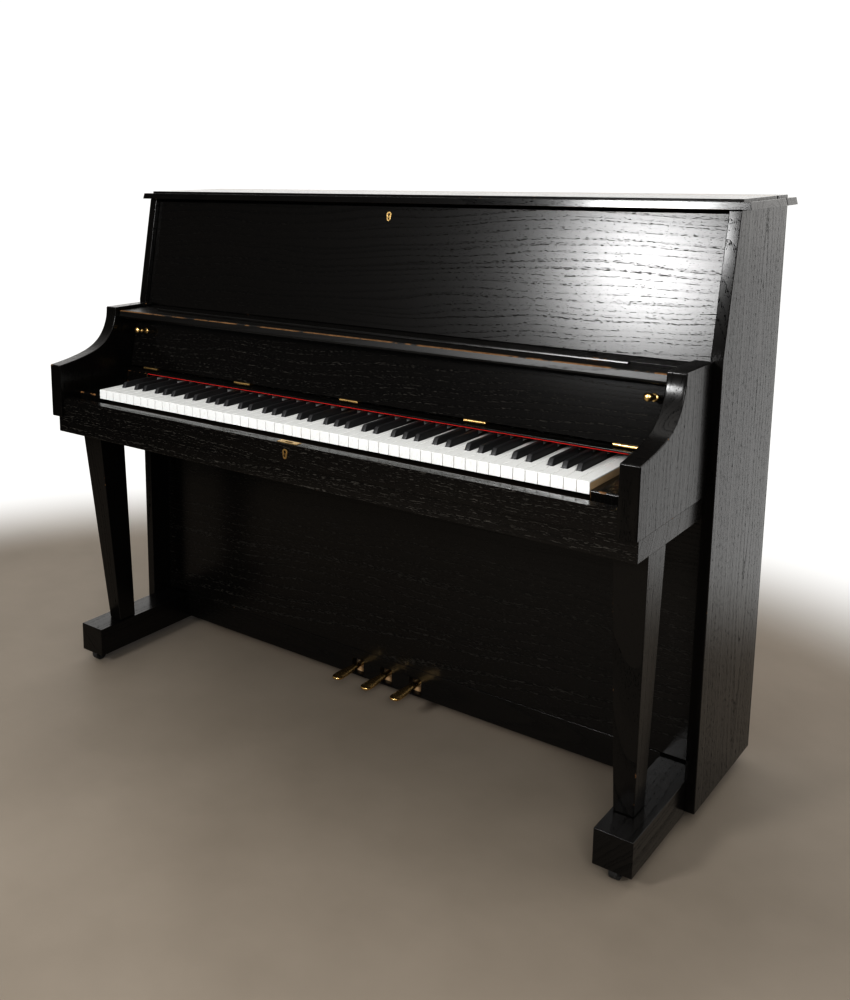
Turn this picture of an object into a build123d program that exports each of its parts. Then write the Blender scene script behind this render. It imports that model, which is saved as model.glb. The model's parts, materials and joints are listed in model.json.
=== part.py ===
"""Upright studio piano, full size, in millimetres.

+X runs to the player's right (treble), +Y to the back, +Z up. The origin is
on the floor in the middle of the footprint. Widths are built outward from the
keyboard, heights upward from the floor, depths inward from the front of the
arms and from the back of the frame.
"""

import math
import os

from build123d import *

os.makedirs("parts", exist_ok=True)

# ---- overall sizes -------------------------------------------------------
overall_height = 1168.0
overall_depth = 629.0

# ---- clearances ----------------------------------------------------------
seat_gap = 0.3
side_play = 0.6
running_play = 0.05
key_play = 1.0

# ---- keyboard ------------------------------------------------------------
white_key_pitch = 23.56
white_key_count = 52
key_top_height = 712.0
key_depth = 22.0
key_head_length = 50.0
key_setback = 58.5
black_key_rise = 12.0
black_cap_width = 10.6
black_cap_length = 107.0
balance_setback = 285.0
key_tail_setback = 374.0

# ---- case widths ---------------------------------------------------------
key_block_width = 71.0
arm_thickness = 34.5
side_reveal = 15.3
side_thickness = 22.0
lid_side_overhang = 18.0

# ---- case heights --------------------------------------------------------
side_bottom = 29.0
toe_bottom = 24.0
toe_height = 69.0
bed_bottom = 604.0
bed_thickness = 40.8
keyslip_height = 44.0
arm_front_rise = 125.0
arm_top = 889.5
shelf_top = 881.4
shelf_thickness = 17.0
lid_lower_thickness = 13.5
lid_upper_thickness = 4.6
panel_head_gap = 6.9
panel_thickness = 18.0

# ---- case depths, from the front of the arms -----------------------------
bed_setback = 16.4
keyslip_setback = 7.0
keyslip_thickness = 25.0
toe_setback = 61.0
leg_setback = 81.5
leg_foot_setback = 131.0
arm_top_setback = 182.5
shelf_setback = 191.0
side_setback = 310.5
side_slant = 49.5
lower_recess = 60.0
panel_inset = 10.0

# ---- legs ----------------------------------------------------------------
leg_top_width = 62.0
leg_top_depth = 78.0
leg_foot_width = 38.0
leg_foot_depth = 50.0
leg_inset = 11.0
leg_foot_inset = 31.0
toe_width = 71.3

# ---- fallboard -----------------------------------------------------------
leaf_axis_setback = 221.9
leaf_axis_height = 738.0
leaf_thickness = 14.0
leaf_lean = 11.0
leaf_offset = 5.0
leaf_closed_dip = 3.0
leaf_hinge_spacing = 302.9
leaf_hinge_length = 48.0
knuckle_radius = 3.2
hinge_pin_radius = 1.4
hinge_plate = 1.35
fold_radius = 2.8
fold_hinge_length = 60.0
knob_rise = 92.0
knob_length = 36.0
knob_reach = 643.0
bumper_thickness = 2.5

# ---- lid hinge -----------------------------------------------------------
lid_hinge_setin = 64.5
lid_knuckle_radius = 2.5
lid_pin_radius = 1.0

# ---- casters -------------------------------------------------------------
wheel_radius = 17.0
wheel_width = 16.0
caster_trail = 12.0
axle_radius = 3.0
stem_radius = 5.0

# ---- back and strings, from the back -------------------------------------
post_depth = 76.0
post_width = 60.0
liner_depth = 30.0
soundboard_thickness = 8.0
pin_block_depth = 33.0
plate_thickness = 10.0
string_gap = 5.0
tuning_pin_radius = 3.4
note_count = 88

# ---- pedals --------------------------------------------------------------
pedal_spacing = 80.0
pedal_width = 26.0
pedal_height = 58.0
pedal_pin_radius = 3.0

# ---- levels that follow --------------------------------------------------
front_y = -overall_depth / 2
back_y = overall_depth / 2
half_keys = white_key_pitch * white_key_count / 2
arm_inner = half_keys + key_play + key_block_width
arm_outer = arm_inner + arm_thickness
side_outer = arm_outer + side_reveal
side_inner = side_outer - side_thickness
lid_half = side_outer + lid_side_overhang
inside = side_inner - seat_gap
lid_bottom = overall_height - lid_lower_thickness - lid_upper_thickness
side_top = lid_bottom - seat_gap
bed_top = bed_bottom + bed_thickness
bed_front = front_y + bed_setback
keyslip_front = front_y + keyslip_setback
keyslip_rear = keyslip_front + keyslip_thickness
keyslip_top = bed_top + seat_gap + keyslip_height
key_front = front_y + key_setback
key_bottom = key_top_height - key_depth
head_end = key_front + key_head_length
balance_y = front_y + balance_setback
key_tail = front_y + key_tail_setback
side_front = front_y + side_setback
side_top_front = side_front + side_slant
kink_z = arm_top + 4.8
shelf_front = front_y + shelf_setback
shelf_bottom = shelf_top - shelf_thickness
lower_front = side_front + lower_recess
lower_back = lower_front + panel_thickness
toe_top = toe_bottom + toe_height
toe_front = front_y + toe_setback
toe_inner = arm_outer - 2.9 - toe_width
toe_outer = toe_inner + toe_width
leg_front = front_y + leg_setback
leg_foot_front = front_y + leg_foot_setback
lid_front_y = side_top_front - 9.9
lid_axis_y = back_y - lid_hinge_setin
lid_axis_z = overall_height - lid_knuckle_radius
post_front = back_y - 2.5 - post_depth
liner_front = post_front - liner_depth
board_front = liner_front - soundboard_thickness
block_front = liner_front - pin_block_depth
plate_back = block_front - seat_gap
plate_front = plate_back - plate_thickness
string_y = plate_front - string_gap
action_back = string_y - 29.0
note_step = (2 * half_keys - 45.0) / (note_count - 1)

# fallboard hinge axes and the turned pose of the main leaf
axis_y = front_y + leaf_axis_setback
axis_z = leaf_axis_height
leaf_front_n = leaf_offset
leaf_back_n = leaf_offset + leaf_thickness
lean_rad = math.radians(leaf_lean)
slant_rad = math.atan2(side_slant, side_top - kink_z)


def lean(u, n):
    """Point u up the main leaf and n behind its hinge axis."""
    y = axis_y + u * math.sin(lean_rad) + n * math.cos(lean_rad)
    z = axis_z + u * math.cos(lean_rad) - n * math.sin(lean_rad)
    return (y, z)


def lean_at_height(z, n):
    """Point on the leaf's plane n at a given height."""
    u = (z - axis_z + n * math.sin(lean_rad)) / math.cos(lean_rad)
    return lean(u, n)


panel_foot_y = side_front + panel_inset
panel_foot_z = shelf_top + seat_gap


def slant(v, m):
    """Point v up the upper panel's face and m behind it."""
    y = panel_foot_y + v * math.sin(slant_rad) + m * math.cos(slant_rad)
    z = panel_foot_z + v * math.cos(slant_rad) - m * math.sin(slant_rad)
    return (y, z)


def slant_at_height(z, m):
    """Point on the upper panel's plane m at a given height."""
    v = (z - panel_foot_z + m * math.sin(slant_rad)) / math.cos(slant_rad)
    return slant(v, m)


leaf_top_z = shelf_bottom - seat_gap - seat_gap
leaf_top_rear = lean_at_height(leaf_top_z, leaf_back_n)
fold_y = leaf_top_rear[0] + fold_radius + 0.6
fold_z = shelf_bottom - seat_gap
front_leaf_back = leaf_top_rear[0] - 0.2
shelf_back_edge = fold_y + fold_radius + 1.4

closed_turn = math.radians(leaf_closed_dip)
knob_tip_n = leaf_offset - knob_length
knob_closed_z = (
    axis_z
    - knob_rise * math.sin(closed_turn)
    + knob_tip_n * math.cos(closed_turn)
)
key_block_top = knob_closed_z - 1.2 - bumper_thickness
rail_bottom = key_top_height + black_key_rise + 3.0
rail_front = axis_y - 7.5
rail_back = axis_y + 27.0


# ---- building blocks -----------------------------------------------------
def block(x0, x1, y0, y1, z0, z1, mode=Mode.ADD):
    """Rectangular block between two corners."""
    with Locations(((x0 + x1) / 2, (y0 + y1) / 2, (z0 + z1) / 2)):
        Box(abs(x1 - x0), abs(y1 - y0), abs(z1 - z0), mode=mode)


def prism(points, x0, x1, mode=Mode.ADD):
    """Side-view outline in Y and Z, drawn out along X."""
    with BuildSketch(Plane.YZ.offset(x0)) as outline:
        with BuildLine():
            Polyline(*points, close=True)
        make_face()
    extrude(to_extrude=outline.sketch, amount=x1 - x0, mode=mode)


def along_x(y, z, radius, x0, x1, mode=Mode.ADD):
    """Round bar along X."""
    with Locations(Location(((x0 + x1) / 2, y, z), (0, 90, 0))):
        Cylinder(radius, abs(x1 - x0), mode=mode)


def along_y(x, z, radius, y0, y1, mode=Mode.ADD):
    """Round bar along Y."""
    with Locations(Location((x, (y0 + y1) / 2, z), (90, 0, 0))):
        Cylinder(radius, abs(y1 - y0), mode=mode)


def along_z(x, y, radius, z0, z1, mode=Mode.ADD):
    """Round bar along Z."""
    with Locations((x, y, (z0 + z1) / 2)):
        Cylinder(radius, abs(z1 - z0), mode=mode)


def save(part, name):
    """Label one sub-part and write its file."""
    part.label = name
    export_step(part, "parts/" + name + ".step")


# ---- case sides ----------------------------------------------------------
def side_outline():
    """Side panel seen from the side, with its leaning upper front edge."""
    return [
        (side_front, side_bottom),
        (back_y, side_bottom),
        (back_y, side_top),
        (side_top_front, side_top),
        (side_front, kink_z),
    ]


with BuildPart() as side_panel_left:
    prism(side_outline(), -side_outer, -side_inner)
save(side_panel_left.part, "side_panel_left")

with BuildPart() as side_panel_right:
    prism(side_outline(), side_inner, side_outer)
save(side_panel_right.part, "side_panel_right")


# ---- arms with a hollow sweep down to the front --------------------------
arm_front_top = bed_top + arm_front_rise
arm_top_front = front_y + arm_top_setback
arm_back = side_front - seat_gap
arm_foot = bed_top + seat_gap


def arm_shape(x_in, x_out, tongue_out):
    """Arm cheek with a tongue glued along the inside of the side panel."""
    rise = arm_top - arm_front_top
    run = arm_top_front - front_y
    with BuildSketch(Plane.YZ.offset(x_in)) as cheek:
        with BuildLine():
            Polyline(
                (arm_top_front, arm_top),
                (arm_back, arm_top),
                (arm_back, arm_foot),
                (front_y, arm_foot),
                (front_y, arm_front_top),
            )
            Spline(
                (front_y, arm_front_top),
                (front_y + 0.44 * run, arm_front_top + 0.11 * rise),
                (front_y + 0.71 * run, arm_front_top + 0.25 * rise),
                (front_y + 0.89 * run, arm_front_top + 0.48 * rise),
                (front_y + 0.975 * run, arm_front_top + 0.74 * rise),
                (arm_top_front, arm_top),
                tangents=((1, 0.12), (0.05, 1)),
            )
        make_face()
    extrude(to_extrude=cheek.sketch, amount=x_out - x_in)
    block(
        x_in,
        tongue_out,
        arm_back - 1.0,
        side_front + 44.0,
        arm_foot,
        shelf_bottom - seat_gap,
    )


with BuildPart() as arm_left:
    arm_shape(-arm_inner, -arm_outer, -inside)
save(arm_left.part, "arm_left")

with BuildPart() as arm_right:
    arm_shape(arm_inner, arm_outer, inside)
save(arm_right.part, "arm_right")


# ---- key bed and keyslip -------------------------------------------------
bed_half = arm_outer - 3.9
with BuildPart() as key_bed:
    block(-bed_half, bed_half, bed_front, side_front - seat_gap, bed_bottom, bed_top)
    block(-inside, inside, side_front - 1.0, key_tail + 4.0, bed_bottom, bed_top)
save(key_bed.part, "key_bed")



def escutcheon(y, z, lean_back):
    """Keyhole plate standing off a face that leans back by an angle."""
    face = Plane(
        origin=(0, y, z),
        x_dir=(1, 0, 0),
        z_dir=(0, -math.cos(lean_back), math.sin(lean_back)),
    )
    with BuildSketch(face) as keyhole:
        Circle(6.5)
        with Locations((0, -10)):
            Circle(4.6)
        make_hull()
        Circle(2.8, mode=Mode.SUBTRACT)
        with Locations((0, -5.5)):
            Rectangle(2.4, 11, mode=Mode.SUBTRACT)
    extrude(to_extrude=keyhole.sketch, amount=1.3)


keyslip_half = arm_inner - seat_gap
keyhole_z = keyslip_top - 17.0
lock_y = (keyslip_front + keyslip_rear) / 2
with BuildPart() as keyslip:
    block(
        -keyslip_half,
        keyslip_half,
        keyslip_front,
        keyslip_rear,
        bed_top + seat_gap,
        keyslip_top,
    )
    block(-22, 22, lock_y - 6, lock_y + 6, keyslip_top - 33, keyslip_top, Mode.SUBTRACT)
    along_y(0, keyhole_z, 2.4, keyslip_front, lock_y, Mode.SUBTRACT)
save(keyslip.part, "keyslip")

with BuildPart() as keyslip_lock:
    block(
        -21.7, 21.7, lock_y - 5.7, lock_y + 5.7, keyslip_top - 32.7, keyslip_top + 0.5
    )
    block(-25, 25, lock_y - 8, lock_y + 8, keyslip_top + 0.1, keyslip_top + 1.1)
    block(-9, 9, lock_y - 3, lock_y + 3, keyslip_top - 6, keyslip_top + 1.1, Mode.SUBTRACT)
    escutcheon(keyslip_front - 0.1, keyhole_z, 0.0)
save(keyslip_lock.part, "keyslip_lock")


# ---- key blocks at both ends of the keyboard -----------------------------
block_inner = half_keys + key_play
block_outer = arm_inner - seat_gap


def key_block(x0, x1):
    """Low block beside the last key, raised at the rear to carry the rail."""
    outline = [
        (key_front, bed_top + seat_gap),
        (rail_back - 4.0, bed_top + seat_gap),
        (rail_back - 4.0, rail_bottom - 0.2),
        (rail_front + 1.0, rail_bottom - 0.2),
        (rail_front - 1.0, key_block_top),
        (key_front + 2.0, key_block_top),
        (key_front, key_block_top - 2.0),
    ]
    prism(outline, x0, x1)


with BuildPart() as key_blocks:
    key_block(-block_outer, -block_inner)
    key_block(block_inner, block_outer)
save(key_blocks.part, "key_blocks")

bumper_y = (
    axis_y
    - knob_rise * math.cos(closed_turn)
    - knob_tip_n * math.sin(closed_turn)
)
knob_x = min(knob_reach, (block_inner + block_outer) / 2)
with BuildPart() as key_block_bumpers:
    for side in (-1, 1):
        along_z(
            side * knob_x,
            bumper_y,
            8.0,
            key_block_top,
            key_block_top + bumper_thickness,
        )
save(key_block_bumpers.part, "key_block_bumpers")


# ---- rail behind the keys that carries the fallboard ---------------------
rail_half = arm_inner - side_play
plate_seat = -hinge_plate - 0.25
with BuildPart() as name_rail:
    rail_outline = [
        lean(plate_seat, leaf_front_n + 0.5),
        (rail_front, rail_bottom + 3.0),
        (rail_front, rail_bottom),
        (rail_back, rail_bottom),
        lean(plate_seat, leaf_back_n + 6.0),
    ]
    prism(rail_outline, -rail_half, rail_half)
save(name_rail.part, "name_rail")

with BuildPart() as key_felt:
    block(
        -half_keys,
        half_keys,
        rail_front + 0.5,
        rail_front + 6.5,
        rail_bottom - 2.4,
        rail_bottom - 0.1,
    )
save(key_felt.part, "key_felt")


# ---- butt hinges of the fallboard ----------------------------------------
hinge_centres = [i * leaf_hinge_spacing for i in range(-2, 3)]
middle_share = 0.32
main_n = knuckle_radius + 0.5
plate_depth_n = leaf_back_n - 2.0


def hinge_spans(centre, length):
    """Ends of the two outer knuckles and of the middle one."""
    half = length / 2
    inner = length * middle_share / 2
    left = (centre - half, centre - inner)
    middle = (centre - inner + seat_gap, centre + inner - seat_gap)
    right = (centre + inner, centre + half)
    return left, middle, right


with BuildPart() as leaf_hinge_plates:
    for centre in hinge_centres:
        left, middle, right = hinge_spans(centre, leaf_hinge_length)
        prism(
            [
                lean(-hinge_plate - 0.15, main_n),
                lean(-hinge_plate - 0.15, plate_depth_n),
                lean(-0.15, plate_depth_n),
                lean(-0.15, main_n),
            ],
            left[0],
            right[1],
        )
        for span in (left, right):
            prism(
                [
                    lean(-hinge_plate - 0.15, 0.0),
                    lean(-hinge_plate - 0.15, main_n + 0.5),
                    lean(-0.15, main_n + 0.5),
                    lean(-0.15, 0.0),
                ],
                span[0],
                span[1],
            )
            along_x(axis_y, axis_z, knuckle_radius, span[0], span[1])
        along_x(axis_y, axis_z, hinge_pin_radius, left[0], right[1])
save(leaf_hinge_plates.part, "leaf_hinge_plates")

with BuildPart() as leaf_hinge_flaps:
    for centre in hinge_centres:
        left, middle, right = hinge_spans(centre, leaf_hinge_length)
        prism(
            [
                lean(0.15, main_n),
                lean(0.15, plate_depth_n),
                lean(hinge_plate + 0.15, plate_depth_n),
                lean(hinge_plate + 0.15, main_n),
            ],
            left[0],
            right[1],
        )
        prism(
            [
                lean(0.15, 0.0),
                lean(0.15, main_n + 0.5),
                lean(hinge_plate + 0.15, main_n + 0.5),
                lean(hinge_plate + 0.15, 0.0),
            ],
            middle[0],
            middle[1],
        )
        along_x(axis_y, axis_z, knuckle_radius, middle[0], middle[1])
        along_x(
            axis_y,
            axis_z,
            hinge_pin_radius + running_play,
            middle[0] - 1.0,
            middle[1] + 1.0,
            Mode.SUBTRACT,
        )
save(leaf_hinge_flaps.part, "leaf_hinge_flaps")


# ---- fallboard -----------------------------------------------------------
leaf_half = arm_inner - side_play
with BuildPart() as fallboard_main_leaf:
    leaf_outline = [
        lean(hinge_plate + 0.25, leaf_front_n),
        lean(hinge_plate + 0.25, leaf_back_n),
        lean_at_height(leaf_top_z, leaf_back_n),
        lean_at_height(leaf_top_z, leaf_front_n),
    ]
    prism(leaf_outline, -leaf_half, leaf_half)
save(fallboard_main_leaf.part, "fallboard_main_leaf")


def knob_profile():
    """Half outline of a turned pull knob, from its base to its tip."""
    return [
        (0.0, 0.1),
        (8.0, 0.1),
        (8.0, 2.5),
        (4.0, 4.5),
        (3.2, 12.0),
        (6.0, 14.5),
        (6.0, 17.5),
        (3.4, 20.0),
        (3.4, 25.0),
        (8.0, 28.5),
        (8.5, 32.0),
        (6.0, 35.0),
        (0.0, knob_length),
    ]


knob_base = lean(knob_rise, leaf_front_n)
with BuildPart() as fallboard_knobs:
    for side in (-1, 1):
        knob_plane = Plane(
            origin=(side * knob_x, knob_base[0], knob_base[1]),
            x_dir=(1, 0, 0),
            z_dir=(0, math.sin(lean_rad), math.cos(lean_rad)),
        )
        outward = -1 if knob_plane.y_dir.Y > 0 else 1
        with BuildSketch(knob_plane) as knob_outline:
            with BuildLine():
                Polyline(*[(r, outward * d) for r, d in knob_profile()], close=True)
            make_face()
        turn_line = Axis(
            origin=(side * knob_x, knob_base[0], knob_base[1]),
            direction=(0, -math.cos(lean_rad), math.sin(lean_rad)),
        )
        revolve(profiles=knob_outline.sketch, axis=turn_line)
save(fallboard_knobs.part, "fallboard_knobs")

with BuildPart() as fallboard_front_leaf:
    front_outline = [
        (front_leaf_back, shelf_bottom),
        (front_leaf_back, shelf_top),
        (shelf_front + 1.5, shelf_top),
        (shelf_front, shelf_top - 1.5),
        (shelf_front, shelf_bottom + 3.0),
        (shelf_front + 3.0, shelf_bottom - 0.5),
        (shelf_front + 8.0, shelf_bottom - 3.0),
        (shelf_front + 15.0, shelf_bottom - 3.0),
        (shelf_front + 19.0, shelf_bottom),
    ]
    prism(front_outline, -leaf_half, leaf_half)
save(fallboard_front_leaf.part, "fallboard_front_leaf")

stop_half = half_keys - 17.5
with BuildPart() as music_stop:
    stop_outline = [
        (front_leaf_back - 27.0, shelf_top + 0.1),
        (front_leaf_back - 15.0, shelf_top + 0.1),
        (front_leaf_back - 15.5, shelf_top + 5.5),
        (front_leaf_back - 25.5, shelf_top + 5.5),
    ]
    prism(stop_outline, -stop_half, stop_half)
save(music_stop.part, "music_stop")


# ---- hinges between the two leaves ---------------------------------------
fold_centres = (-450.0, 0.0, 450.0)
fold_plate_u = (fold_z - axis_z) / math.cos(lean_rad)
fold_gap = fold_radius + 0.4
with BuildPart() as fold_hinge_plates:
    for centre in fold_centres:
        left, middle, right = hinge_spans(centre, fold_hinge_length)
        prism(
            [
                lean(fold_plate_u - 22.0, leaf_back_n + 0.1),
                lean(fold_plate_u - 22.0, leaf_back_n + 1.4),
                lean(fold_plate_u - 2.6, leaf_back_n + 1.4),
                lean(fold_plate_u - 2.6, leaf_back_n + 0.1),
            ],
            left[0],
            right[1],
        )
        for span in (left, right):
            prism(
                [
                    lean(fold_plate_u - 6.0, leaf_back_n + 0.1),
                    lean(fold_plate_u - 6.0, leaf_back_n + 1.6),
                    (fold_y + 0.6, fold_z - 1.6),
                    (fold_y - 1.8, fold_z - 0.4),
                ],
                span[0],
                span[1],
            )
            along_x(fold_y, fold_z, fold_radius, span[0], span[1])
        along_x(fold_y, fold_z, hinge_pin_radius, left[0], right[1])
save(fold_hinge_plates.part, "fold_hinge_plates")

with BuildPart() as fold_hinge_flaps:
    for centre in fold_centres:
        left, middle, right = hinge_spans(centre, fold_hinge_length)
        block(
            left[0],
            right[1],
            front_leaf_back + 0.1,
            front_leaf_back + 1.4,
            fold_z + fold_gap,
            shelf_top - 1.5,
        )
        prism(
            [
                (front_leaf_back + 0.1, fold_z + fold_gap + 1.0),
                (front_leaf_back + 1.4, fold_z + fold_gap + 1.0),
                (fold_y - 0.3, fold_z + 1.8),
                (fold_y - 1.6, fold_z + 1.2),
            ],
            middle[0],
            middle[1],
        )
        along_x(fold_y, fold_z, fold_radius, middle[0], middle[1])
        along_x(
            fold_y,
            fold_z,
            hinge_pin_radius + running_play,
            middle[0] - 1.0,
            middle[1] + 1.0,
            Mode.SUBTRACT,
        )
save(fold_hinge_flaps.part, "fold_hinge_flaps")


# ---- fixed rear part of the music shelf ----------------------------------
with BuildPart() as music_shelf:
    block(-rail_half, rail_half, shelf_back_edge, side_front + 1.0, shelf_bottom, shelf_top)
    block(-inside, inside, side_front + 0.3, side_front + 44.0, shelf_bottom, shelf_top)
save(music_shelf.part, "music_shelf")


# ---- panels --------------------------------------------------------------
panel_half = side_inner - side_play
panel_head_z = lid_bottom - panel_head_gap
with BuildPart() as upper_panel:
    panel_outline = [
        slant(0.0, 0.0),
        slant_at_height(panel_foot_z, panel_thickness),
        slant_at_height(panel_head_z, panel_thickness),
        slant_at_height(panel_head_z, 0.0),
    ]
    prism(panel_outline, -panel_half, panel_half)
save(upper_panel.part, "upper_panel")

lock_height = panel_head_z - 18.0
lock_face = slant_at_height(lock_height, -0.1)
lock_body = slant_at_height(lock_height, panel_thickness + 6.1)
tilt = math.degrees(slant_rad)
with BuildPart() as panel_lock:
    escutcheon(lock_face[0], lock_face[1], slant_rad)
    with Locations(Location((0, lock_body[0], lock_body[1]), (-tilt, 0, 0))):
        Box(48, 12, 30)
save(panel_lock.part, "panel_lock")

with BuildPart() as lower_panel:
    block(
        -panel_half,
        panel_half,
        lower_front,
        lower_back,
        toe_top + 3.5,
        bed_bottom - side_play,
    )
save(lower_panel.part, "lower_panel")


# ---- bottom of the case --------------------------------------------------
rail_ends = toe_inner - seat_gap
pedal_xs = (-pedal_spacing, 0.0, pedal_spacing)
with BuildPart() as bottom_rail:
    block(-rail_ends, rail_ends, lower_front, lower_back, side_bottom + 1.0, toe_top + 3.2)
    for x in pedal_xs:
        block(
            x - pedal_width / 2 - 3,
            x + pedal_width / 2 + 3,
            lower_front - 1,
            lower_back + 1,
            pedal_height - 24,
            pedal_height + 14,
            Mode.SUBTRACT,
        )
save(bottom_rail.part, "bottom_rail")

board_top = side_bottom + 15.0
with BuildPart() as bottom_board:
    block(
        -rail_ends,
        rail_ends,
        lower_back + 0.1,
        post_front + 10.0,
        side_bottom + 1.0,
        board_top,
    )
save(bottom_board.part, "bottom_board")

caster_x = toe_inner + toe_width / 2
front_stem_y = toe_front + 34.5
rear_stem_y = back_y - 44.5
pocket_radius = caster_trail + wheel_radius + 2.0
pocket_top = toe_bottom + 21.0
with BuildPart() as toe_beams:
    for side in (-1, 1):
        block(
            side * toe_inner,
            side * toe_outer,
            toe_front,
            side_front - seat_gap,
            toe_bottom,
            toe_top,
        )
        block(
            side * toe_inner,
            side * inside,
            side_front - 1.0,
            back_y - 10.0,
            toe_bottom,
            toe_top,
        )
        for y in (front_stem_y, rear_stem_y):
            x = side * caster_x
            along_z(x, y, pocket_radius, toe_bottom - 1, pocket_top, Mode.SUBTRACT)
            along_z(
                x,
                y,
                stem_radius + running_play,
                pocket_top - 1,
                pocket_top + 20,
                Mode.SUBTRACT,
            )
save(toe_beams.part, "toe_beams")

with BuildPart() as front_legs:
    for side in (-1, 1):
        top_x = side * (arm_outer - leg_inset - leg_top_width / 2)
        foot_x = side * (arm_outer - leg_foot_inset - leg_foot_width / 2)
        with BuildSketch(Plane.XY.offset(toe_top + seat_gap)) as leg_foot:
            with Locations((foot_x, leg_foot_front + leg_foot_depth / 2)):
                Rectangle(leg_foot_width, leg_foot_depth)
        with BuildSketch(Plane.XY.offset(bed_bottom - seat_gap)) as leg_head:
            with Locations((top_x, leg_front + leg_top_depth / 2)):
                Rectangle(leg_top_width, leg_top_depth)
        loft(sections=[leg_foot.sketch.faces()[0], leg_head.sketch.faces()[0]], ruled=True)
save(front_legs.part, "front_legs")


# ---- lid -----------------------------------------------------------------
lid_step = 19.0
upper_tier = lid_bottom + lid_lower_thickness
seam = 1.4


def lid_notch():
    """Groove in which the hinge barrel lies."""
    block(
        -lid_half,
        lid_half,
        lid_axis_y - lid_knuckle_radius - 0.7,
        lid_axis_y + lid_knuckle_radius + 0.7,
        lid_axis_z - lid_knuckle_radius - 0.7,
        overall_height + 1,
        Mode.SUBTRACT,
    )


with BuildPart() as lid_front:
    block(-lid_half, lid_half, lid_front_y, lid_axis_y - seam, lid_bottom, upper_tier)
    block(
        -lid_half + lid_step,
        lid_half - lid_step,
        lid_front_y + lid_step,
        lid_axis_y - seam,
        upper_tier - 1,
        overall_height,
    )
    lid_notch()
save(lid_front.part, "lid_front")

with BuildPart() as lid_rear:
    block(-lid_half, lid_half, lid_axis_y + seam, back_y, lid_bottom, upper_tier)
    block(
        -lid_half + lid_step,
        lid_half - lid_step,
        lid_axis_y + seam,
        back_y,
        upper_tier - 1,
        overall_height,
    )
    lid_notch()
save(lid_rear.part, "lid_rear")

barrel_half = lid_half - lid_step - 6.0
barrel_parts = 7
barrel_step = 2 * barrel_half / barrel_parts
barrel_gap = lid_knuckle_radius + 0.4
with BuildPart() as lid_hinge_fixed:
    block(
        -barrel_half,
        barrel_half,
        lid_axis_y + 0.2,
        lid_axis_y + seam - 0.1,
        lid_bottom + 1.0,
        lid_axis_z - barrel_gap,
    )
    for i in range(0, barrel_parts, 2):
        x0 = -barrel_half + i * barrel_step
        x1 = x0 + barrel_step
        block(
            x0,
            x1,
            lid_axis_y + 0.2,
            lid_axis_y + seam - 0.1,
            lid_axis_z - barrel_gap - 1,
            lid_axis_z,
        )
        along_x(lid_axis_y, lid_axis_z, lid_knuckle_radius, x0, x1)
    along_x(lid_axis_y, lid_axis_z, lid_pin_radius, -barrel_half, barrel_half)
save(lid_hinge_fixed.part, "lid_hinge_fixed")

with BuildPart() as lid_hinge_moving:
    block(
        -barrel_half,
        barrel_half,
        lid_axis_y - seam + 0.1,
        lid_axis_y - 0.2,
        lid_bottom + 1.0,
        lid_axis_z - barrel_gap,
    )
    for i in range(1, barrel_parts, 2):
        x0 = -barrel_half + i * barrel_step + seat_gap
        x1 = x0 + barrel_step - 2 * seat_gap
        block(
            x0,
            x1,
            lid_axis_y - seam + 0.1,
            lid_axis_y - 0.2,
            lid_axis_z - barrel_gap - 1,
            lid_axis_z,
        )
        along_x(lid_axis_y, lid_axis_z, lid_knuckle_radius, x0, x1)
        along_x(
            lid_axis_y,
            lid_axis_z,
            lid_pin_radius + running_play,
            x0 - 1,
            x1 + 1,
            Mode.SUBTRACT,
        )
save(lid_hinge_moving.part, "lid_hinge_moving")


# ---- keys ----------------------------------------------------------------
octave = 7 * white_key_pitch
front_step = 3 * white_key_pitch / 5
back_step = 4 * white_key_pitch / 7
white_tones = (0, 2, 4, 5, 7, 9, 11)
black_tones = (1, 3, 6, 8, 10)


def tone_left(tone):
    """Left edge of a key's tail, from the left edge of its octave."""
    if tone <= 5:
        return tone * front_step
    return 3 * white_key_pitch + (tone - 5) * back_step


def octave_left(number):
    """Left edge of an octave; octave 0 starts below the lowest key."""
    return -half_keys + (number * 7 - 5) * white_key_pitch


def tail_edges(number, tone):
    """Both edges of the slot in which one key's tail lies."""
    left = octave_left(number) + tone_left(tone)
    right = octave_left(number) + tone_left(tone + 1)
    return left, right


def white_outline(number, tone):
    """Plan of a white key: a full-width head and a narrow tail."""
    index = white_tones.index(tone)
    head_left = octave_left(number) + index * white_key_pitch + key_play / 2
    head_right = head_left + white_key_pitch - key_play
    tail_left, tail_right = tail_edges(number, tone)
    if number == 0 and tone == 9:
        tail_left = head_left - key_play / 2
    if number == 8:
        tail_right = head_right + key_play / 2
    tail_left = max(tail_left + key_play / 2, head_left)
    tail_right = min(tail_right - key_play / 2, head_right)
    corners = [(head_left, key_front), (head_right, key_front), (head_right, head_end)]
    if tail_right < head_right - 0.01:
        corners += [(tail_right, head_end)]
    corners += [(tail_right, key_tail), (tail_left, key_tail)]
    if tail_left > head_left + 0.01:
        corners += [(tail_left, head_end)]
    corners += [(head_left, head_end)]
    return [c for i, c in enumerate(corners) if c != corners[i - 1]]


def black_middle(number, tone):
    """Middle of a black key across the keyboard."""
    left, right = tail_edges(number, tone)
    return (left + right) / 2


stick_half = min(front_step, back_step) / 2 - key_play / 2
cap_start = head_end + 2.0
cap_end = cap_start + black_cap_length
cap_top = key_top_height + black_key_rise
stick_top = key_top_height - 1.5
with BuildPart() as one_black_key:
    block(-stick_half, stick_half, cap_start, key_tail, key_bottom, stick_top)
    cap_outline = [
        (cap_start, stick_top - 0.5),
        (cap_start + 6.0, cap_top - 1.5),
        (cap_start + 9.0, cap_top),
        (cap_end, cap_top),
        (cap_end, stick_top - 0.5),
    ]
    prism(cap_outline, -black_cap_width / 2, black_cap_width / 2)

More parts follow.
